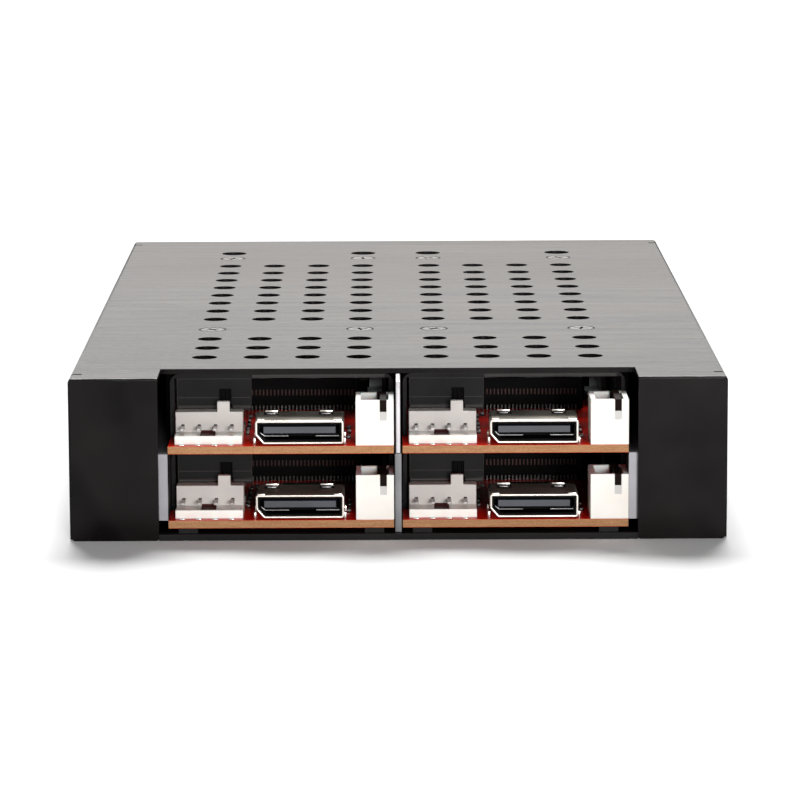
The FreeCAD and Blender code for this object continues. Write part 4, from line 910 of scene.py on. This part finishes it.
@dataclass(frozen=True)
class Fasteners:
    """The cover screws, base screws and board screws."""

    cover_across: Pair = (6.13, 30.61)
    cover_along: Pair = (52.0, 144.0)
    cover_top: float = 25.4
    recess_up: Pair = (24.49, 25.39)
    recess_share: float = 0.92
    base_across: float = 42.0
    base_along: Pair = (12.0, 158.0)
    board_across: float = 14.4
    board_along: float = 28.0
    turns: tuple[float, ...] = (12.0, 58.0, 33.0, 80.0, 5.0, 47.0, 71.0, 26.0)
    short: CrossScrew = CrossScrew((*FLUSH_HEAD, (1.25, -2.4), (1.1, -2.5)))
    long: CrossScrew = CrossScrew((*FLUSH_HEAD, (1.25, -3.5), (1.1, -3.6)))
    hexagon: CrossScrew = CrossScrew((*PAN_HEAD, (1.0, 0.0), (1.0, -2.0)), 6, 0.75, 0.3, 0.5)

    def screws(self, node: str, screw: CrossScrew, places: Sequence[Point], first_turn: int = 0,
               upside_down: bool = False) -> bpy.types.Object:
        """Builds one set of screws as a piece.

        Args:
            node: The solid that the set replaces.
            screw: The kind of screw.
            places: The middle of each head.
            first_turn: Which of the turns comes first.
            upside_down: Whether the heads look down.

        Returns:
            The piece.
        """
        shape = Shape()
        for place, turn in zip(places, self.turns[first_turn:]):
            screw.add(shape, place, turn, upside_down)
        return shape.close(f"{node[:-1]}_set", Finish.STEEL, "screw_steel", [node])

    def build(self) -> None:
        """Builds the three sets, with painted shade in the recesses of the cover's screws."""
        places = [(side.value * across, along, self.cover_top) for along in self.cover_along
                  for across in self.cover_across for side in Side]
        heads = self.screws("cover_screws", self.short, places)
        middles = [Vector((across * MILLIMETRE, placed(along))) for across, along, up in places]
        low, high, reach = (MILLIMETRE * value for value in (*self.recess_up, self.recess_share * self.short.arm))
        # The faces inside each cover screw's recess get the dark finish: painted shade.
        paint_faces(heads, Finish.RECESS, lambda face: low < face.center.z < high
                    and min((face.center.xy - middle).length for middle in middles) < reach)
        self.screws("base_screws", self.long, [(side.value * self.base_across, along, 0.0)
                                               for along in self.base_along for side in Side], 2, True)
        self.screws("board_screws", self.hexagon, [bay.at(side.value * self.board_across, self.board_along, 0.0)
                                                   for bay in BAYS for side in Side])


@dataclass(frozen=True)
class RearBoards:
    """The red boards of the bays with their small parts."""

    resistors: tuple[Pair, ...] = ((-5.45, 12.2), (-5.5, 15.4), (-5.4, 18.8), (-5.5, 22.6), (-5.4, 26.8), (-4.5, 28.6),
                                   (10.45, 8.0), (10.5, 12.6), (10.4, 16.4), (12.6, 19.5))
    resistor_size: Point = (0.55, 1.25, 0.4)
    capacitors: tuple[Pair, ...] = ((-13.4, 13.2), (-10.6, 13.2), (-7.8, 13.2), (0.4, 16.0), (3.4, 16.0), (6.4, 16.0))
    capacitor_size: Point = (1.25, 2.0, 1.0)
    cap_overhang: float = 0.03
    cap_inset: float = 0.12
    cap_middle: float = 0.14
    cap_half: float = 0.16
    part_foot: float = 0.02
    chips: tuple[tuple[float, float, float, float], ...] = ((-9.2, 19.6, 4.9, 3.9), (2.9, 24.0, 6.6, 6.6))
    chip_height: Pair = (0.1, 1.05)
    lead_pitch: float = 0.65
    lead_half: float = 0.12
    lead_steps: tuple[tuple[float, float, Pair, float], ...] = ((-0.1, 0.45, (0.38, 0.5), 0.03),
                                                                (0.36, 0.75, (0.0, 0.48), 0.05))
    pad_across: Pair = (-0.3, 0.5)
    pad_along: Pair = (1.55, 2.44)
    pad_height: float = 0.09

    def capped_part(self, body: Shape, caps: Shape, bay: Bay, place: Pair, size: Point) -> None:
        """Adds a small part with a tinned cap at each end, lying along Y.

        Args:
            body: The shape of the parts' bodies.
            caps: The shape of their caps.
            bay: The bay it is in.
            place: Its middle, across and along.
            size: Its width, length and height.
        """
        across, along = place
        wide, long, tall = size[0] / 2.0, size[1] / 2.0, size[2]
        body.block(bay, around(across, wide), around(along, long - self.cap_inset), (self.part_foot, tall),
                   Edging(0.04, 1))
        for end in (-1, 1):
            middle = along + end * (long - self.cap_middle)
            caps.block(bay, around(across, wide + self.cap_overhang), around(middle, self.cap_half),
                       (0.0, tall + self.cap_overhang), Edging(0.06, 2))

    def chip(self, body: Shape, leads: Shape, bay: Bay, across: float, along: float, size: Pair) -> None:
        """Adds a black chip with a row of bent leads on two sides.

        Args:
            body: The shape of the chips' bodies.
            leads: The shape of their leads.
            bay: The bay it is in.
            across: Its middle across the bay.
            along: Its middle along the bay.
            size: Its width and length.
        """
        wide, long = size[0] / 2.0, size[1] / 2.0
        body.block(bay, around(across, wide), around(along, long), self.chip_height, Edging(0.12, 2))
        count = int(2.0 * long / self.lead_pitch) - 1
        for index in range(count):
            width = around(along + (index - (count - 1) / 2.0) * self.lead_pitch, self.lead_half)
            for end in (-1, 1):
                for near, far, up, rounding in self.lead_steps:
                    reach = sorted((across + end * (wide + near), across + end * (wide + far)))
                    leads.block(bay, tuple(reach), width, up, Edging(rounding, 1))

    def build(self) -> None:
        """Dresses the boards and adds their parts."""
        for bay in BAYS:
            soft_copy(f"rear_board_{bay.name}", f"board_{bay.name}", Finish.BOARD, "board", Edging(0.05, 1))
            ceramic, caps, black, leads = Shape(), Shape(), Shape(), Shape()
            for place in self.resistors:
                self.capped_part(black, caps, bay, place, self.resistor_size)
            for place in self.capacitors:
                self.capped_part(ceramic, caps, bay, place, self.capacitor_size)
            for across, along, wide, long in self.chips:
                self.chip(black, leads, bay, across, along, (wide, long))
            for across in POWER_PINS:
                leads.block(bay, tuple(across + reach for reach in self.pad_across), self.pad_along,
                            (0.0, self.pad_height), Edging(0.04, 2))
            ceramic.close(f"board_capacitors_{bay.name}", Finish.CERAMIC, "board")
            caps.close(f"board_caps_{bay.name}", Finish.DULL_TIN, "board")
            black.close(f"board_chips_{bay.name}", Finish.CHIP, "board")
            leads.close(f"board_leads_{bay.name}", Finish.TIN, "board")


@dataclass(frozen=True)
class PowerHeaders:
    """The white power headers: a shelf with a window, a wall with a latch tab and four pins."""

    window: Pair = (-12.5, -10.25)
    shelf: Pair = (2.75, 6.2)
    shelf_height: float = 1.3
    wall_front: float = 6.25
    wall_depth: float = 0.2
    proud: float = 0.05
    window_depth: float = 0.08
    window_up: Pair = (0.9, 1.62)
    pin_shadow_across: Pair = (-0.1, 0.42)
    pin_shadow_depth: float = 0.02
    pin_shadow_up: Pair = (2.26, 2.54)
    edging: Edging = Edging(0.02, 1)

    def build(self) -> None:
        """Builds the headers of every bay."""
        front, proud = self.wall_front, self.wall_front + self.proud
        wall = placed(front - self.wall_depth)
        for bay in BAYS:
            housing = soft_copy(f"power_header_{bay.name}", f"power_housing_{bay.name}", Finish.NYLON,
                                "connector_white", Edging(0.12, 2))
            # The wall's faces get the greyer nylon: painted shade.
            paint_faces(housing, Finish.HEADER_WALL, lambda face: face.center.y > wall)
            shape = Shape()
            # Dark red blocks fill the window in the shelf and its mouth in the wall: painted shade.
            shape.block(bay, self.window, self.shelf, (0.0, self.shelf_height), self.edging)
            shape.block(bay, self.window, (front - self.window_depth, proud), self.window_up, self.edging)
            shape.close(f"header_window_{bay.name}", Finish.WINDOW_RED, "board")
            # Small dark marks above each pin stand in for their shadows: painted shadow.
            pin_shadows = Shape()
            for across in POWER_PINS:
                pin_shadows.block(bay, tuple(across + reach for reach in self.pin_shadow_across),
                            (front - self.pin_shadow_depth, proud), self.pin_shadow_up, self.edging)
            pin_shadows.close(f"header_notches_{bay.name}", Finish.SHADOW, "connector_dark")


@dataclass(frozen=True)
class DataReceptacles:
    """The keyed metal shells of the data receptacles, with a rolled rim and spring windows."""

    left: float = -3.95
    right: float = 9.75
    low: float = 0.12
    high: float = 3.82
    mouth: float = 1.6
    back: float = 10.6
    key: Pair = (1.25, 1.45)
    corner: float = 0.42
    key_corner: float = 0.2
    rim: float = 0.36
    rim_rounding: float = 0.13
    hollow: float = 4.1
    liner_back: float = 0.45
    liner_rim: float = 0.3
    liner_gap: float = 0.01
    liner_depth: float = 3.55
    liner_hollow: float = 3.35
    near: float = 0.1
    sharp: float = 0.9
    tabs: tuple[Pair, ...] = ((-3.65, -2.5), (8.15, 9.45))
    tab_along: Pair = (1.66, 3.8)
    tab_up: Pair = (3.72, 3.99)
    feet: tuple[Pair, ...] = ((-4.25, -3.9), (9.7, 10.05))
    feet_along: tuple[Pair, ...] = ((2.2, 3.4), (7.6, 8.8))
    feet_up: Pair = (0.0, 1.0)
    shaded_from: float = 2.4
    windows: tuple[Pair, ...] = ((-2.6, -0.6), (5.95, 7.95))
    slot_margin: float = 0.12
    slot_along: Pair = (7.2, 10.45)
    slot_up: Pair = (3.72, 3.84)
    bend_inset: Pair = (0.3, 0.35)
    bend_along: Pair = (8.0, 8.3)
    bend_up: Pair = (3.77, 3.92)
    leaf_along: Pair = (9.9, 10.3)
    leaf_up: Pair = (3.77, 4.06)
    strips: tuple[Pair, ...] = ((-2.5, 1.2), (5.4, 9.0))
    strip_along: Pair = (2.3, 5.0)
    strip_up: Pair = (1.3, 1.38)
    strip_bend: tuple[Pair, ...] = ((-3.42, 2.0), (-3.34, 2.06), (-2.46, 1.38), (-2.5, 1.3))
    strip_bend_depth: float = 0.8

    def outline(self, bay: Bay, inset: float, along: float) -> list[Point]:
        """Gives the keyed outline at one depth, drawn in by a margin.

        Args:
            bay: The bay it is in.
            inset: The margin.
            along: The depth.

        Returns:
            The corners.
        """
        left, right, low, high = self.left + inset, self.right - inset, self.low + inset, self.high - inset
        across, up = self.key
        return [bay.at(left + across, along, low), bay.at(right, along, low), bay.at(right, along, high),
                bay.at(left, along, high), bay.at(left, along, low + up)]

    def shell(self, bay: Bay) -> None:
        """Builds the metal shell with its rim, corner tabs and feet.

        Args:
            bay: The bay it is in.
        """
        shape = Shape()
        mesh, mouth = shape.mesh, self.mouth
        shape.prism(self.outline(bay, 0.0, mouth), self.back - mouth)
        keyed = bay.at(self.left + self.key[0] + self.near, 0.0, self.low + self.key[1] + self.near)
        lengthways = [edge for edge in mesh.edges if abs(edge.verts[0].co.y - edge.verts[1].co.y) > 1.0]
        blunt = [edge for edge in lengthways if edge.verts[0].co.x < keyed[0] and edge.verts[0].co.z < keyed[2]]
        square = [edge for edge in lengthways if edge not in blunt]
        bevel(mesh, blunt, self.key_corner, 4)
        bevel(mesh, square, self.corner, 4)
        shape.sink(mouth, self.rim, self.hollow)
        bevel(mesh, [edge for edge in mesh.edges if edge.is_manifold and edge.calc_face_angle(0.0) > self.sharp
                     and max(vert.co.y for vert in edge.verts) < mouth + self.near], self.rim_rounding, 3)
        for across in self.tabs:
            shape.block(bay, across, self.tab_along, self.tab_up, Edging(0.07, 2))
        for along in self.feet_along:
            for across in self.feet:
                shape.block(bay, across, along, self.feet_up, Edging(0.08, 2))
        rim = shape.close(f"data_rim_{bay.name}", Finish.SHELL, "connector_shell", [f"data_shell_{bay.name}"])
        behind = placed(self.shaded_from)
        paint_faces(rim, Finish.SHELL_TOP, lambda face: face.normal.z > 0.6 and face.center.y > behind)

    def liner(self, bay: Bay) -> None:
        """Builds the black moulding that lines the shell behind its rim.

        Args:
            bay: The bay it is in.
        """
        shape = Shape()
        front = self.mouth + self.liner_back
        shape.prism(self.outline(bay, self.rim + self.liner_gap, front), self.liner_depth)
        shape.sink(front, self.liner_rim, self.liner_hollow)
        shape.close(f"data_liner_{bay.name}", Finish.COMB, "connector_dark")

    def springs(self, bay: Bay) -> None:
        """Adds the spring windows on top: a dark slot in each, with a bright leaf and its bend in a darker bare finish
        that is painted shade.

        Args:
            bay: The bay it is in.
        """
        slots, leaves, shaded_bends = Shape(), Shape(), Shape()
        margin, (inset_left, inset_right) = self.slot_margin, self.bend_inset
        for left, right in self.windows:
            slots.block(bay, (left - margin, right + margin), self.slot_along, self.slot_up, Edging(0.01, 1))
            # The bend takes the darker divider finish: painted shade.
            shaded_bends.block(bay, (left + inset_left, right - inset_right), self.bend_along, self.bend_up, Edging(0.05, 2))
            leaves.block(bay, (left, right), self.leaf_along, self.leaf_up, Edging(0.06, 2))
        slots.close(f"spring_slots_{bay.name}", Finish.COMB, "connector_dark")
        shaded_bends.close(f"spring_bends_{bay.name}", Finish.DIVIDER, "connector_shell")
        leaves.close(f"spring_leaves_{bay.name}", Finish.SHELL, "connector_shell")

    def contacts(self, bay: Bay) -> None:
        """Adds two bright tin strips below the tongue, the left one bent up along the key's chamfer: a painted
        highlight of the inner rim.

        Args:
            bay: The bay it is in.
        """
        shape = Shape()
        # The strips are painted highlight along the shell's inner rim.
        for strip in self.strips:
            shape.block(bay, strip, self.strip_along, self.strip_up, Edging(0.02, 1))
        shape.prism([bay.at(across, self.strip_along[0], up) for across, up in self.strip_bend],
                    self.strip_bend_depth)
        shape.close(f"data_strips_{bay.name}", Finish.TIN, "contact")

    def build(self) -> None:
        """Builds the receptacle of every bay."""
        for bay in BAYS:
            self.shell(bay)
            self.liner(bay)
            self.springs(bay)
            self.contacts(bay)
        soft_copy("data_inserts", "data_tongues", Finish.DARK_INSERT, "connector_dark", Edging(0.06, 1))


@dataclass(frozen=True)
class FanHeaders:
    """The white fan headers, open at the top, with a slot in the outer wall."""

    back_from: float = 7.0
    inside_from: float = 6.0
    back_shift: float = 1.1
    slot: Pair = (15.0, 16.0)
    front: float = 1.0
    recess_low: float = 3.93
    recess_high: float = 5.26
    key_back: float = 1.6
    shade_back: float = 8.0
    shade_top: float = 7.06
    rear_shade_along: Pair = (7.9, 9.42)
    rear_shade_top: float = 7.1
    rear_shade_margin: float = 0.42
    left: float = 11.35
    shift: float = 0.22
    stretch: float = 0.025

    def moved(self, across: float) -> float:
        """Gives the place across a bay as the photograph shows it, a little further right than in the solids."""
        return across + self.shift + self.stretch * (across - self.left)

    def build(self) -> None:
        """Builds the four headers with the deep back wall that the photograph shows."""
        shape = Shape().copy_node("fan_headers")
        for vert in shape.mesh.verts:
            if vert.co.y > self.back_from:
                vert.co.y += self.back_shift
            middle = math.copysign(BAY_MIDDLE, vert.co.x)
            vert.co.x = middle + self.moved(vert.co.x - middle)
        shape.soften(Edging(0.1, 2))
        housings = shape.close("fan_housings", Finish.NYLON, "connector_white", ["fan_headers"])
        inside = placed(self.inside_from)
        # Upward faces and the inside of the back wall get the greyer nylon: painted shade.
        paint_faces(housings, Finish.PALE_NYLON, lambda face: face.normal.z > 0.5
                    or (face.normal.y < -0.5 and face.center.y > inside))
        # Dark plates fill the slot and the gap in the back wall as painted shadow; the grey keys below are painted
        # shade.
        shades, keys = Shape(), Shape()
        left, right = (self.moved(value) for value in self.slot)
        for bay in BAYS:
            shades.block(bay, (left, right), (self.front, self.shade_back), (self.recess_high, self.shade_top),
                         Edging(0.03, 1))
            shades.block(bay, (left - self.rear_shade_margin, right), self.rear_shade_along,
                         (self.recess_high, self.rear_shade_top), Edging(0.03, 1))
            keys.block(bay, (left, right), (self.front, self.key_back), (self.recess_low, self.recess_high),
                       Edging(0.02, 1))
        shades.close("fan_slot_shades", Finish.SHADOW, "connector_dark")
        keys.close("fan_slot_keys", Finish.GREY_NYLON, "connector_white")


@dataclass(frozen=True)
class BayConnectors:
    """The black comb connectors at the back of each bay, with two rows of contacts."""

    pitch: float = 0.6
    ways: int = 37
    half_width: float = 0.1
    tail: tuple[Pair, Pair] = ((34.0, 35.2), (0.02, 0.85))
    contact: tuple[Pair, Pair] = ((34.9, 35.1), (2.4, 3.3))

    def build(self) -> None:
        """Builds the comb and the contacts of every bay."""
        for bay in BAYS:
            soft_copy(f"bay_connector_{bay.name}", f"comb_{bay.name}", Finish.COMB, "connector_dark", Edging(0.1, 2))
            upper, lower = Shape(), Shape()
            for index in range(self.ways):
                across = around((index - (self.ways - 1) / 2.0) * self.pitch, self.half_width)
                lower.block(bay, across, *self.tail)
                upper.block(bay, across, *self.contact)
            # The tails take the darkened tin: partly painted shade.
            lower.close(f"comb_tails_{bay.name}", Finish.DULL_TIN, "contact")
            # The comb's contacts take the near-black gold: painted shade.
            upper.close(f"comb_contacts_{bay.name}", Finish.DULL_CONTACT, "contact")


@dataclass(frozen=True)
class HeaderPins:
    """The pins of the power and fan headers, the power ones as flat and as high as the photograph shows them."""

    height: float = 2.05
    level: float = 2.18
    shift: float = 0.16
    flatness: float = 0.62

    def build(self) -> None:
        """Builds all pins as one piece."""
        shape = Shape().copy_node("header_pins")
        for vert in shape.mesh.verts:
            bay = min(BAYS, key=lambda item: abs(vert.co.x - item.middle) + 2.0 * abs(vert.co.z - item.floor - 2.0))
            if vert.co.x < bay.middle:
                vert.co.x += self.shift
                vert.co.z = bay.floor + self.level + self.flatness * (vert.co.z - bay.floor - self.height)
        shape.soften(Edging(0.08, 1))
        shape.close("header_pin_set", Finish.PIN_TIN, "contact", ["header_pins"])


@dataclass(frozen=True)
class Sleeves:
    """The black sleeves, each with a flap that hangs over the power header and ends in a rolled lip."""

    flap: Pair = (-16.35, -4.7)
    notch: Pair = (-9.75, -7.85)
    front: float = 9.6
    lip: Pair = (4.7, 5.85)
    lip_depth: Pair = (9.3, 10.6)
    lip_drop: float = 0.62
    margin: float = 0.2
    skin: float = 0.05
    highlight_lines: tuple[tuple[Pair, Pair, Edging], ...] = (
        ((-16.33, -9.77), (6.1, 6.28), Edging(0.05, 1)), ((-7.83, -4.72), (6.1, 6.28), Edging(0.05, 1)),
        ((-16.33, -16.25), (5.0, 9.15), Edging(0.02, 1)), ((-4.8, -4.72), (5.0, 9.15), Edging(0.02, 1)),
        ((-16.35, -4.7), (9.1, 9.22), Edging(0.03, 1)), ((-4.6, 16.05), (9.28, 9.78), Edging(0.1, 2)))
    ribs: tuple[Pair, ...] = ((-9.4, -9.12), (-8.8, -8.52), (-8.2, -7.92))
    rib_size: tuple[Pair, Pair] = ((9.95, 10.29), (4.6, 7.7))
    back: tuple[Pair, Pair, Pair] = ((-10.05, -7.55), (10.3, 10.5), (4.5, 8.0))
    roll: float = 0.5
    roll_edge: float = 0.15
    roll_gap: float = 0.1
    roll_place: Pair = (9.93, 4.67)

    def hang_lip(self, shape: Shape, bay: Bay) -> None:
        """Lowers the rolled lip to where it covers the top of the power header.

        Args:
            shape: The sleeve.
            bay: The bay it is in.
        """
        for vert in shape.mesh.verts:
            across, up = vert.co.x - bay.middle, vert.co.z - bay.floor
            if (self.flap[0] - self.margin < across < self.flap[1] + self.margin and self.lip[0] < up < self.lip[1]
                    and self.lip_depth[0] < vert.co.y < self.lip_depth[1]):
                vert.co.z -= self.lip_drop

    def folds(self, bay: Bay) -> None:
        """Adds lighter lines at the crease above the lip and at the cut edges of flap and roof, which are painted
        highlights, and the ribs behind the notch.

        Args:
            bay: The bay it is in.
        """
        bright, dull = Shape(), Shape()
        # These thin lighter blocks are painted highlights along the crease and the cut edges.
        for across, up, edging in self.highlight_lines:
            bright.block(bay, across, around(self.front, self.skin), up, edging)
        for across in self.ribs:
            dull.block(bay, across, *self.rib_size, Edging(0.05, 1))
        dull.block(bay, *self.back, Edging(0.05, 1))
        bright.close(f"flap_creases_{bay.name}", Finish.LIP, "black_metal")
        dull.close(f"flap_folds_{bay.name}", Finish.COMB, "black_metal")

    def rolls(self, bay: Bay) -> None:
        """Adds the front of the rolled lip on both sides of the notch, in a lighter black that is a painted highlight.

        Args:
            bay: The bay it is in.
        """
        shape = Shape()
        ring, edge = self.roll, self.roll_edge
        gap = self.roll_gap
        for left, right in ((self.flap[0], self.notch[0] - gap), (self.notch[1] + gap, self.flap[1])):
            span = right - left
            shape.turned(((ring - edge, 0.0), (ring, edge), (ring, span - edge), (ring - edge, span)),
                         bay.at(left, *self.roll_place), Axis.X, 20)
        # The roll's lighter black is painted highlight.
        shape.close(f"flap_roll_{bay.name}", Finish.LIP, "black_metal")

    def build(self) -> None:
        """Builds each sleeve with softened edges, its lip lowered."""
        for bay in BAYS:
            shape = Shape().copy_node(f"bay_sleeve_{bay.name}")
            self.hang_lip(shape, bay)
            shape.soften(Edging(0.08, 2))
            shape.close(f"sleeve_{bay.name}", Finish.SLEEVE, "black_metal", [f"bay_sleeve_{bay.name}"])
            self.folds(bay)
            self.rolls(bay)


@dataclass(frozen=True)
class Trays:
    """The folded trays, their drive clips and their carrier boards."""

    board_top: float = 3.27
    contact_along: Pair = (38.95, 44.6)
    contact_up: tuple[Pair, Pair] = ((2.03, 2.08), (3.22, 3.27))
    fingers: int = 18
    finger_pitch: float = 1.15
    finger_half: float = 0.38

    def carrier(self, bay: Bay) -> None:
        """Builds the carrier board: black board and drive socket, with gold edge contacts.

        Args:
            bay: The bay it is in.
        """
        board = soft_copy(f"drive_board_{bay.name}", f"carrier_board_{bay.name}", Finish.CARRIER, "board",
                          Edging(0.05, 1))
        top = (bay.floor + self.board_top) * MILLIMETRE
        paint_faces(board, Finish.COMB, lambda face: face.center.z > top)
        shape = Shape()
        for index in range(self.fingers):
            across = around((index - (self.fingers - 1) / 2.0) * self.finger_pitch, self.finger_half)
            for up in self.contact_up:
                shape.block(bay, across, self.contact_along, up)
        shape.close(f"edge_contacts_{bay.name}", Finish.CONTACT, "contact", body=f"tray_{bay.name}")

    def build(self) -> None:
        """Builds the tray of every bay."""
        for bay in BAYS:
            soft_copy(f"tray_frame_{bay.name}", f"tray_{bay.name}", Finish.TRAY, "tray_metal", Edging(0.1, 2))
            soft_copy(f"drive_clip_{bay.name}", f"clip_block_{bay.name}", Finish.CLIP, "clip_plastic", Edging(0.15, 2))
            self.carrier(bay)


@dataclass(frozen=True)
class TrayFronts:
    """The bezels with their light pipes, the levers with their grips and the release buttons."""

    pipe_across: float = 16.85
    pipe_size: Pair = (0.8, 1.7)
    pipe_along: Pair = (174.0, 174.54)
    pipe_heights: Pair = (2.0, 5.2)
    grip_first: float = 5.6
    grip_pitch: float = 0.5
    grip_width: float = 0.24
    grip_ribs: int = 4
    grip_along: Pair = (174.6, 175.18)
    grip_up: Pair = (1.3, 6.1)
    pad: tuple[Pair, ...] = ((1.55, -0.25), (1.55, 0.0), (1.42, 0.09), (1.25, 0.1), (1.1, 0.02), (0.6, -0.02))
    pad_place: Point = (12.4, 175.08, 3.7)

    def light_pipes(self, bay: Bay) -> None:
        """Adds two clear light pipes to the right rim of the bezel.

        Args:
            bay: The bay it is in.
        """
        shape = Shape()
        for up in self.pipe_heights:
            shape.block(bay, around(self.pipe_across, self.pipe_size[0] / 2.0), self.pipe_along,
                        around(up, self.pipe_size[1] / 2.0), Edging(0.16, 3))
        shape.close(f"light_pipes_{bay.name}", Finish.LIGHT_PIPE, "bezel_plastic", body=f"tray_{bay.name}")

    def grip(self, bay: Bay) -> None:
        """Adds the raised ribs at the free end of the lever.

        Args:
            bay: The bay it is in.
        """
        shape = Shape()
        for index in range(self.grip_ribs):
            across = self.grip_first + self.grip_pitch * index
            shape.block(bay, (across, across + self.grip_width), self.grip_along, self.grip_up, Edging(0.09, 2))
        shape.close(f"lever_ribs_{bay.name}", Finish.LEVER, "lever_plastic", body=f"lever_{bay.name}")

    def button_dot(self, bay: Bay) -> None:
        """Adds the raised press pad in the middle of the button.

        Args:
            bay: The bay it is in.
        """
        shape = Shape()
        shape.turned(self.pad, bay.at(*self.pad_place), Axis.Y, 32)
        shape.close(f"button_pad_{bay.name}", Finish.BUTTON, "button_plastic", body=f"button_{bay.name}")

    def build(self) -> None:
        """Builds the front of every tray."""
        for bay in BAYS:
            soft_copy(f"tray_bezel_{bay.name}", f"bezel_{bay.name}", Finish.BEZEL, "bezel_plastic", Edging(0.18, 3))
            soft_copy(f"tray_lever_{bay.name}", f"lever_grip_{bay.name}", Finish.LEVER, "lever_plastic",
                      Edging(0.14, 2))
            soft_copy(f"release_button_{bay.name}", f"button_cap_{bay.name}", Finish.BUTTON, "button_plastic",
                      Edging(0.14, 2))
            self.light_pipes(bay)
            self.grip(bay)
            self.button_dot(bay)


@dataclass(frozen=True)
class Lamp:
    """One far, wide lamp, with its angles in degrees."""

    name: str
    azimuth: float
    height: float
    strength: float
    softness: float

    def build(self) -> None:
        """Hangs the lamp, its azimuth counted from the rear towards the left."""
        data = bpy.data.lights.new(self.name, "SUN")
        data.energy = self.strength
        data.angle = math.radians(self.softness)
        lamp = bpy.data.objects.new(self.name, data)
        turn, lift = math.radians(self.azimuth), math.radians(self.height)
        towards = Vector((-math.sin(turn) * math.cos(lift), -math.cos(turn) * math.cos(lift), math.sin(lift)))
        lamp.rotation_euler = (-towards).to_track_quat("-Z", "Y").to_euler()
        lamp.location = towards
        bpy.context.scene.collection.objects.link(lamp)


@dataclass(frozen=True)
class Studio:
    """The pale floor, the lamps, the white world and the camera of the photograph."""

    lens: float = 184.14
    sensor: float = 36.0
    camera_place: Point = (-1.51, -708.22, 123.69)
    camera_turn: Point = (-9.313, 0.232, -0.168)
    camera_reach: Pair = (0.01, 20.0)
    world_light: float = 0.14
    floor_size: float = 4.0
    floor_tone: float = 0.86
    floor_glow: float = 0.04
    lamps: tuple[Lamp, ...] = (Lamp("key_lamp", 180.0, 50.0, 4.9, 28.0), Lamp("fill_lamp", -12.0, 8.0, 2.5, 14.0))

    def floor(self) -> None:
        """Lays a wide pale floor that shows white and keeps the shadow."""
        mesh = bmesh.new()
        bmesh.ops.create_grid(mesh, x_segments=1, y_segments=1, size=self.floor_size)
        data = bpy.data.meshes.new("floor")
        mesh.to_mesh(data)
        mesh.free()
        floor = bpy.data.objects.new("floor", data)
        bpy.context.scene.collection.objects.link(floor)
        material = bpy.data.materials.new("floor_pale")
        material.use_nodes = True
        tree = material.node_tree
        tree.nodes.clear()
        diffuse, glow, both, output = (tree.nodes.new(f"ShaderNode{kind}")
                                       for kind in ("BsdfDiffuse", "Emission", "AddShader", "OutputMaterial"))
        diffuse.inputs["Color"].default_value = (*(self.floor_tone,) * 3, 1.0)
        glow.inputs["Color"].default_value = WHITE
        tree.links.new(self.seen_directly(tree, self.floor_glow, 0.0), glow.inputs["Strength"])
        tree.links.new(diffuse.outputs[0], both.inputs[0])
        tree.links.new(glow.outputs[0], both.inputs[1])
        tree.links.new(both.outputs[0], output.inputs["Surface"])
        data.materials.append(material)

    @staticmethod
    def seen_directly(tree: bpy.types.NodeTree, seen: float, unseen: float) -> Socket:
        """Gives one strength to camera, glossy and transmission rays and another to the rest.

        Args:
            tree: The node tree.
            seen: The strength for those rays.
            unseen: The strength for the rest.

        Returns:
            The strength.
        """
        path = tree.nodes.new("ShaderNodeLightPath")
        total = path.outputs["Is Camera Ray"]
        for name in ("Is Glossy Ray", "Is Transmission Ray"):
            node = tree.nodes.new("ShaderNodeMath")
            node.operation = "MAXIMUM"
            tree.links.new(total, node.inputs[0])
            tree.links.new(path.outputs[name], node.inputs[1])
            total = node.outputs[0]
        span = tree.nodes.new("ShaderNodeMapRange")
        span.inputs["To Min"].default_value = unseen
        span.inputs["To Max"].default_value = seen
        tree.links.new(total, span.inputs["Value"])
        return span.outputs["Result"]

    def world(self) -> None:
        """Sets a plain white world."""
        world = bpy.data.worlds.new("studio_white")
        bpy.context.scene.world = world
        world.use_nodes = True
        background = world.node_tree.nodes["Background"]
        background.inputs["Color"].default_value = WHITE
        strength = self.seen_directly(world.node_tree, 1.0, self.world_light)
        world.node_tree.links.new(strength, background.inputs["Strength"])

    def camera(self) -> None:
        """Places the camera where the photograph was taken from."""
        data = bpy.data.cameras.new("photo_camera")
        data.sensor_width = self.sensor
        data.lens = self.lens
        data.clip_start, data.clip_end = self.camera_reach
        camera = bpy.data.objects.new("photo_camera", data)
        tilt, roll, turn = (math.radians(value) for value in self.camera_turn)
        aim = (Matrix.Rotation(turn, 4, "Z") @ Matrix.Rotation(tilt, 4, "X") @ Matrix.Rotation(roll, 4, "Y")
               @ Matrix.Rotation(math.radians(90.0), 4, "X"))
        camera.matrix_world = Matrix.Translation(Vector(self.camera_place) * MILLIMETRE) @ aim
        bpy.context.scene.collection.objects.link(camera)
        bpy.context.scene.camera = camera

    def build(self) -> None:
        """Sets up the whole studio."""
        self.camera()
        self.floor()
        self.world()
        for lamp in self.lamps:
            lamp.build()
        bpy.context.scene.view_settings.view_transform = "Standard"


def main() -> None:
    """Builds the scene in order."""
    logging.basicConfig(level=logging.INFO, format="%(name)s %(message)s")
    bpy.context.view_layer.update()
    assemblies = [Studio(), Cover(), Chassis(), Fasteners(), RearBoards(), PowerHeaders(), DataReceptacles(),
                  FanHeaders(), BayConnectors(), HeaderPins(), Sleeves(), Trays(), TrayFronts()]
    for assembly in assemblies:
        LOG.info("building %s", type(assembly).__name__)
        assembly.build()


if __name__ == "__main__":
    main()
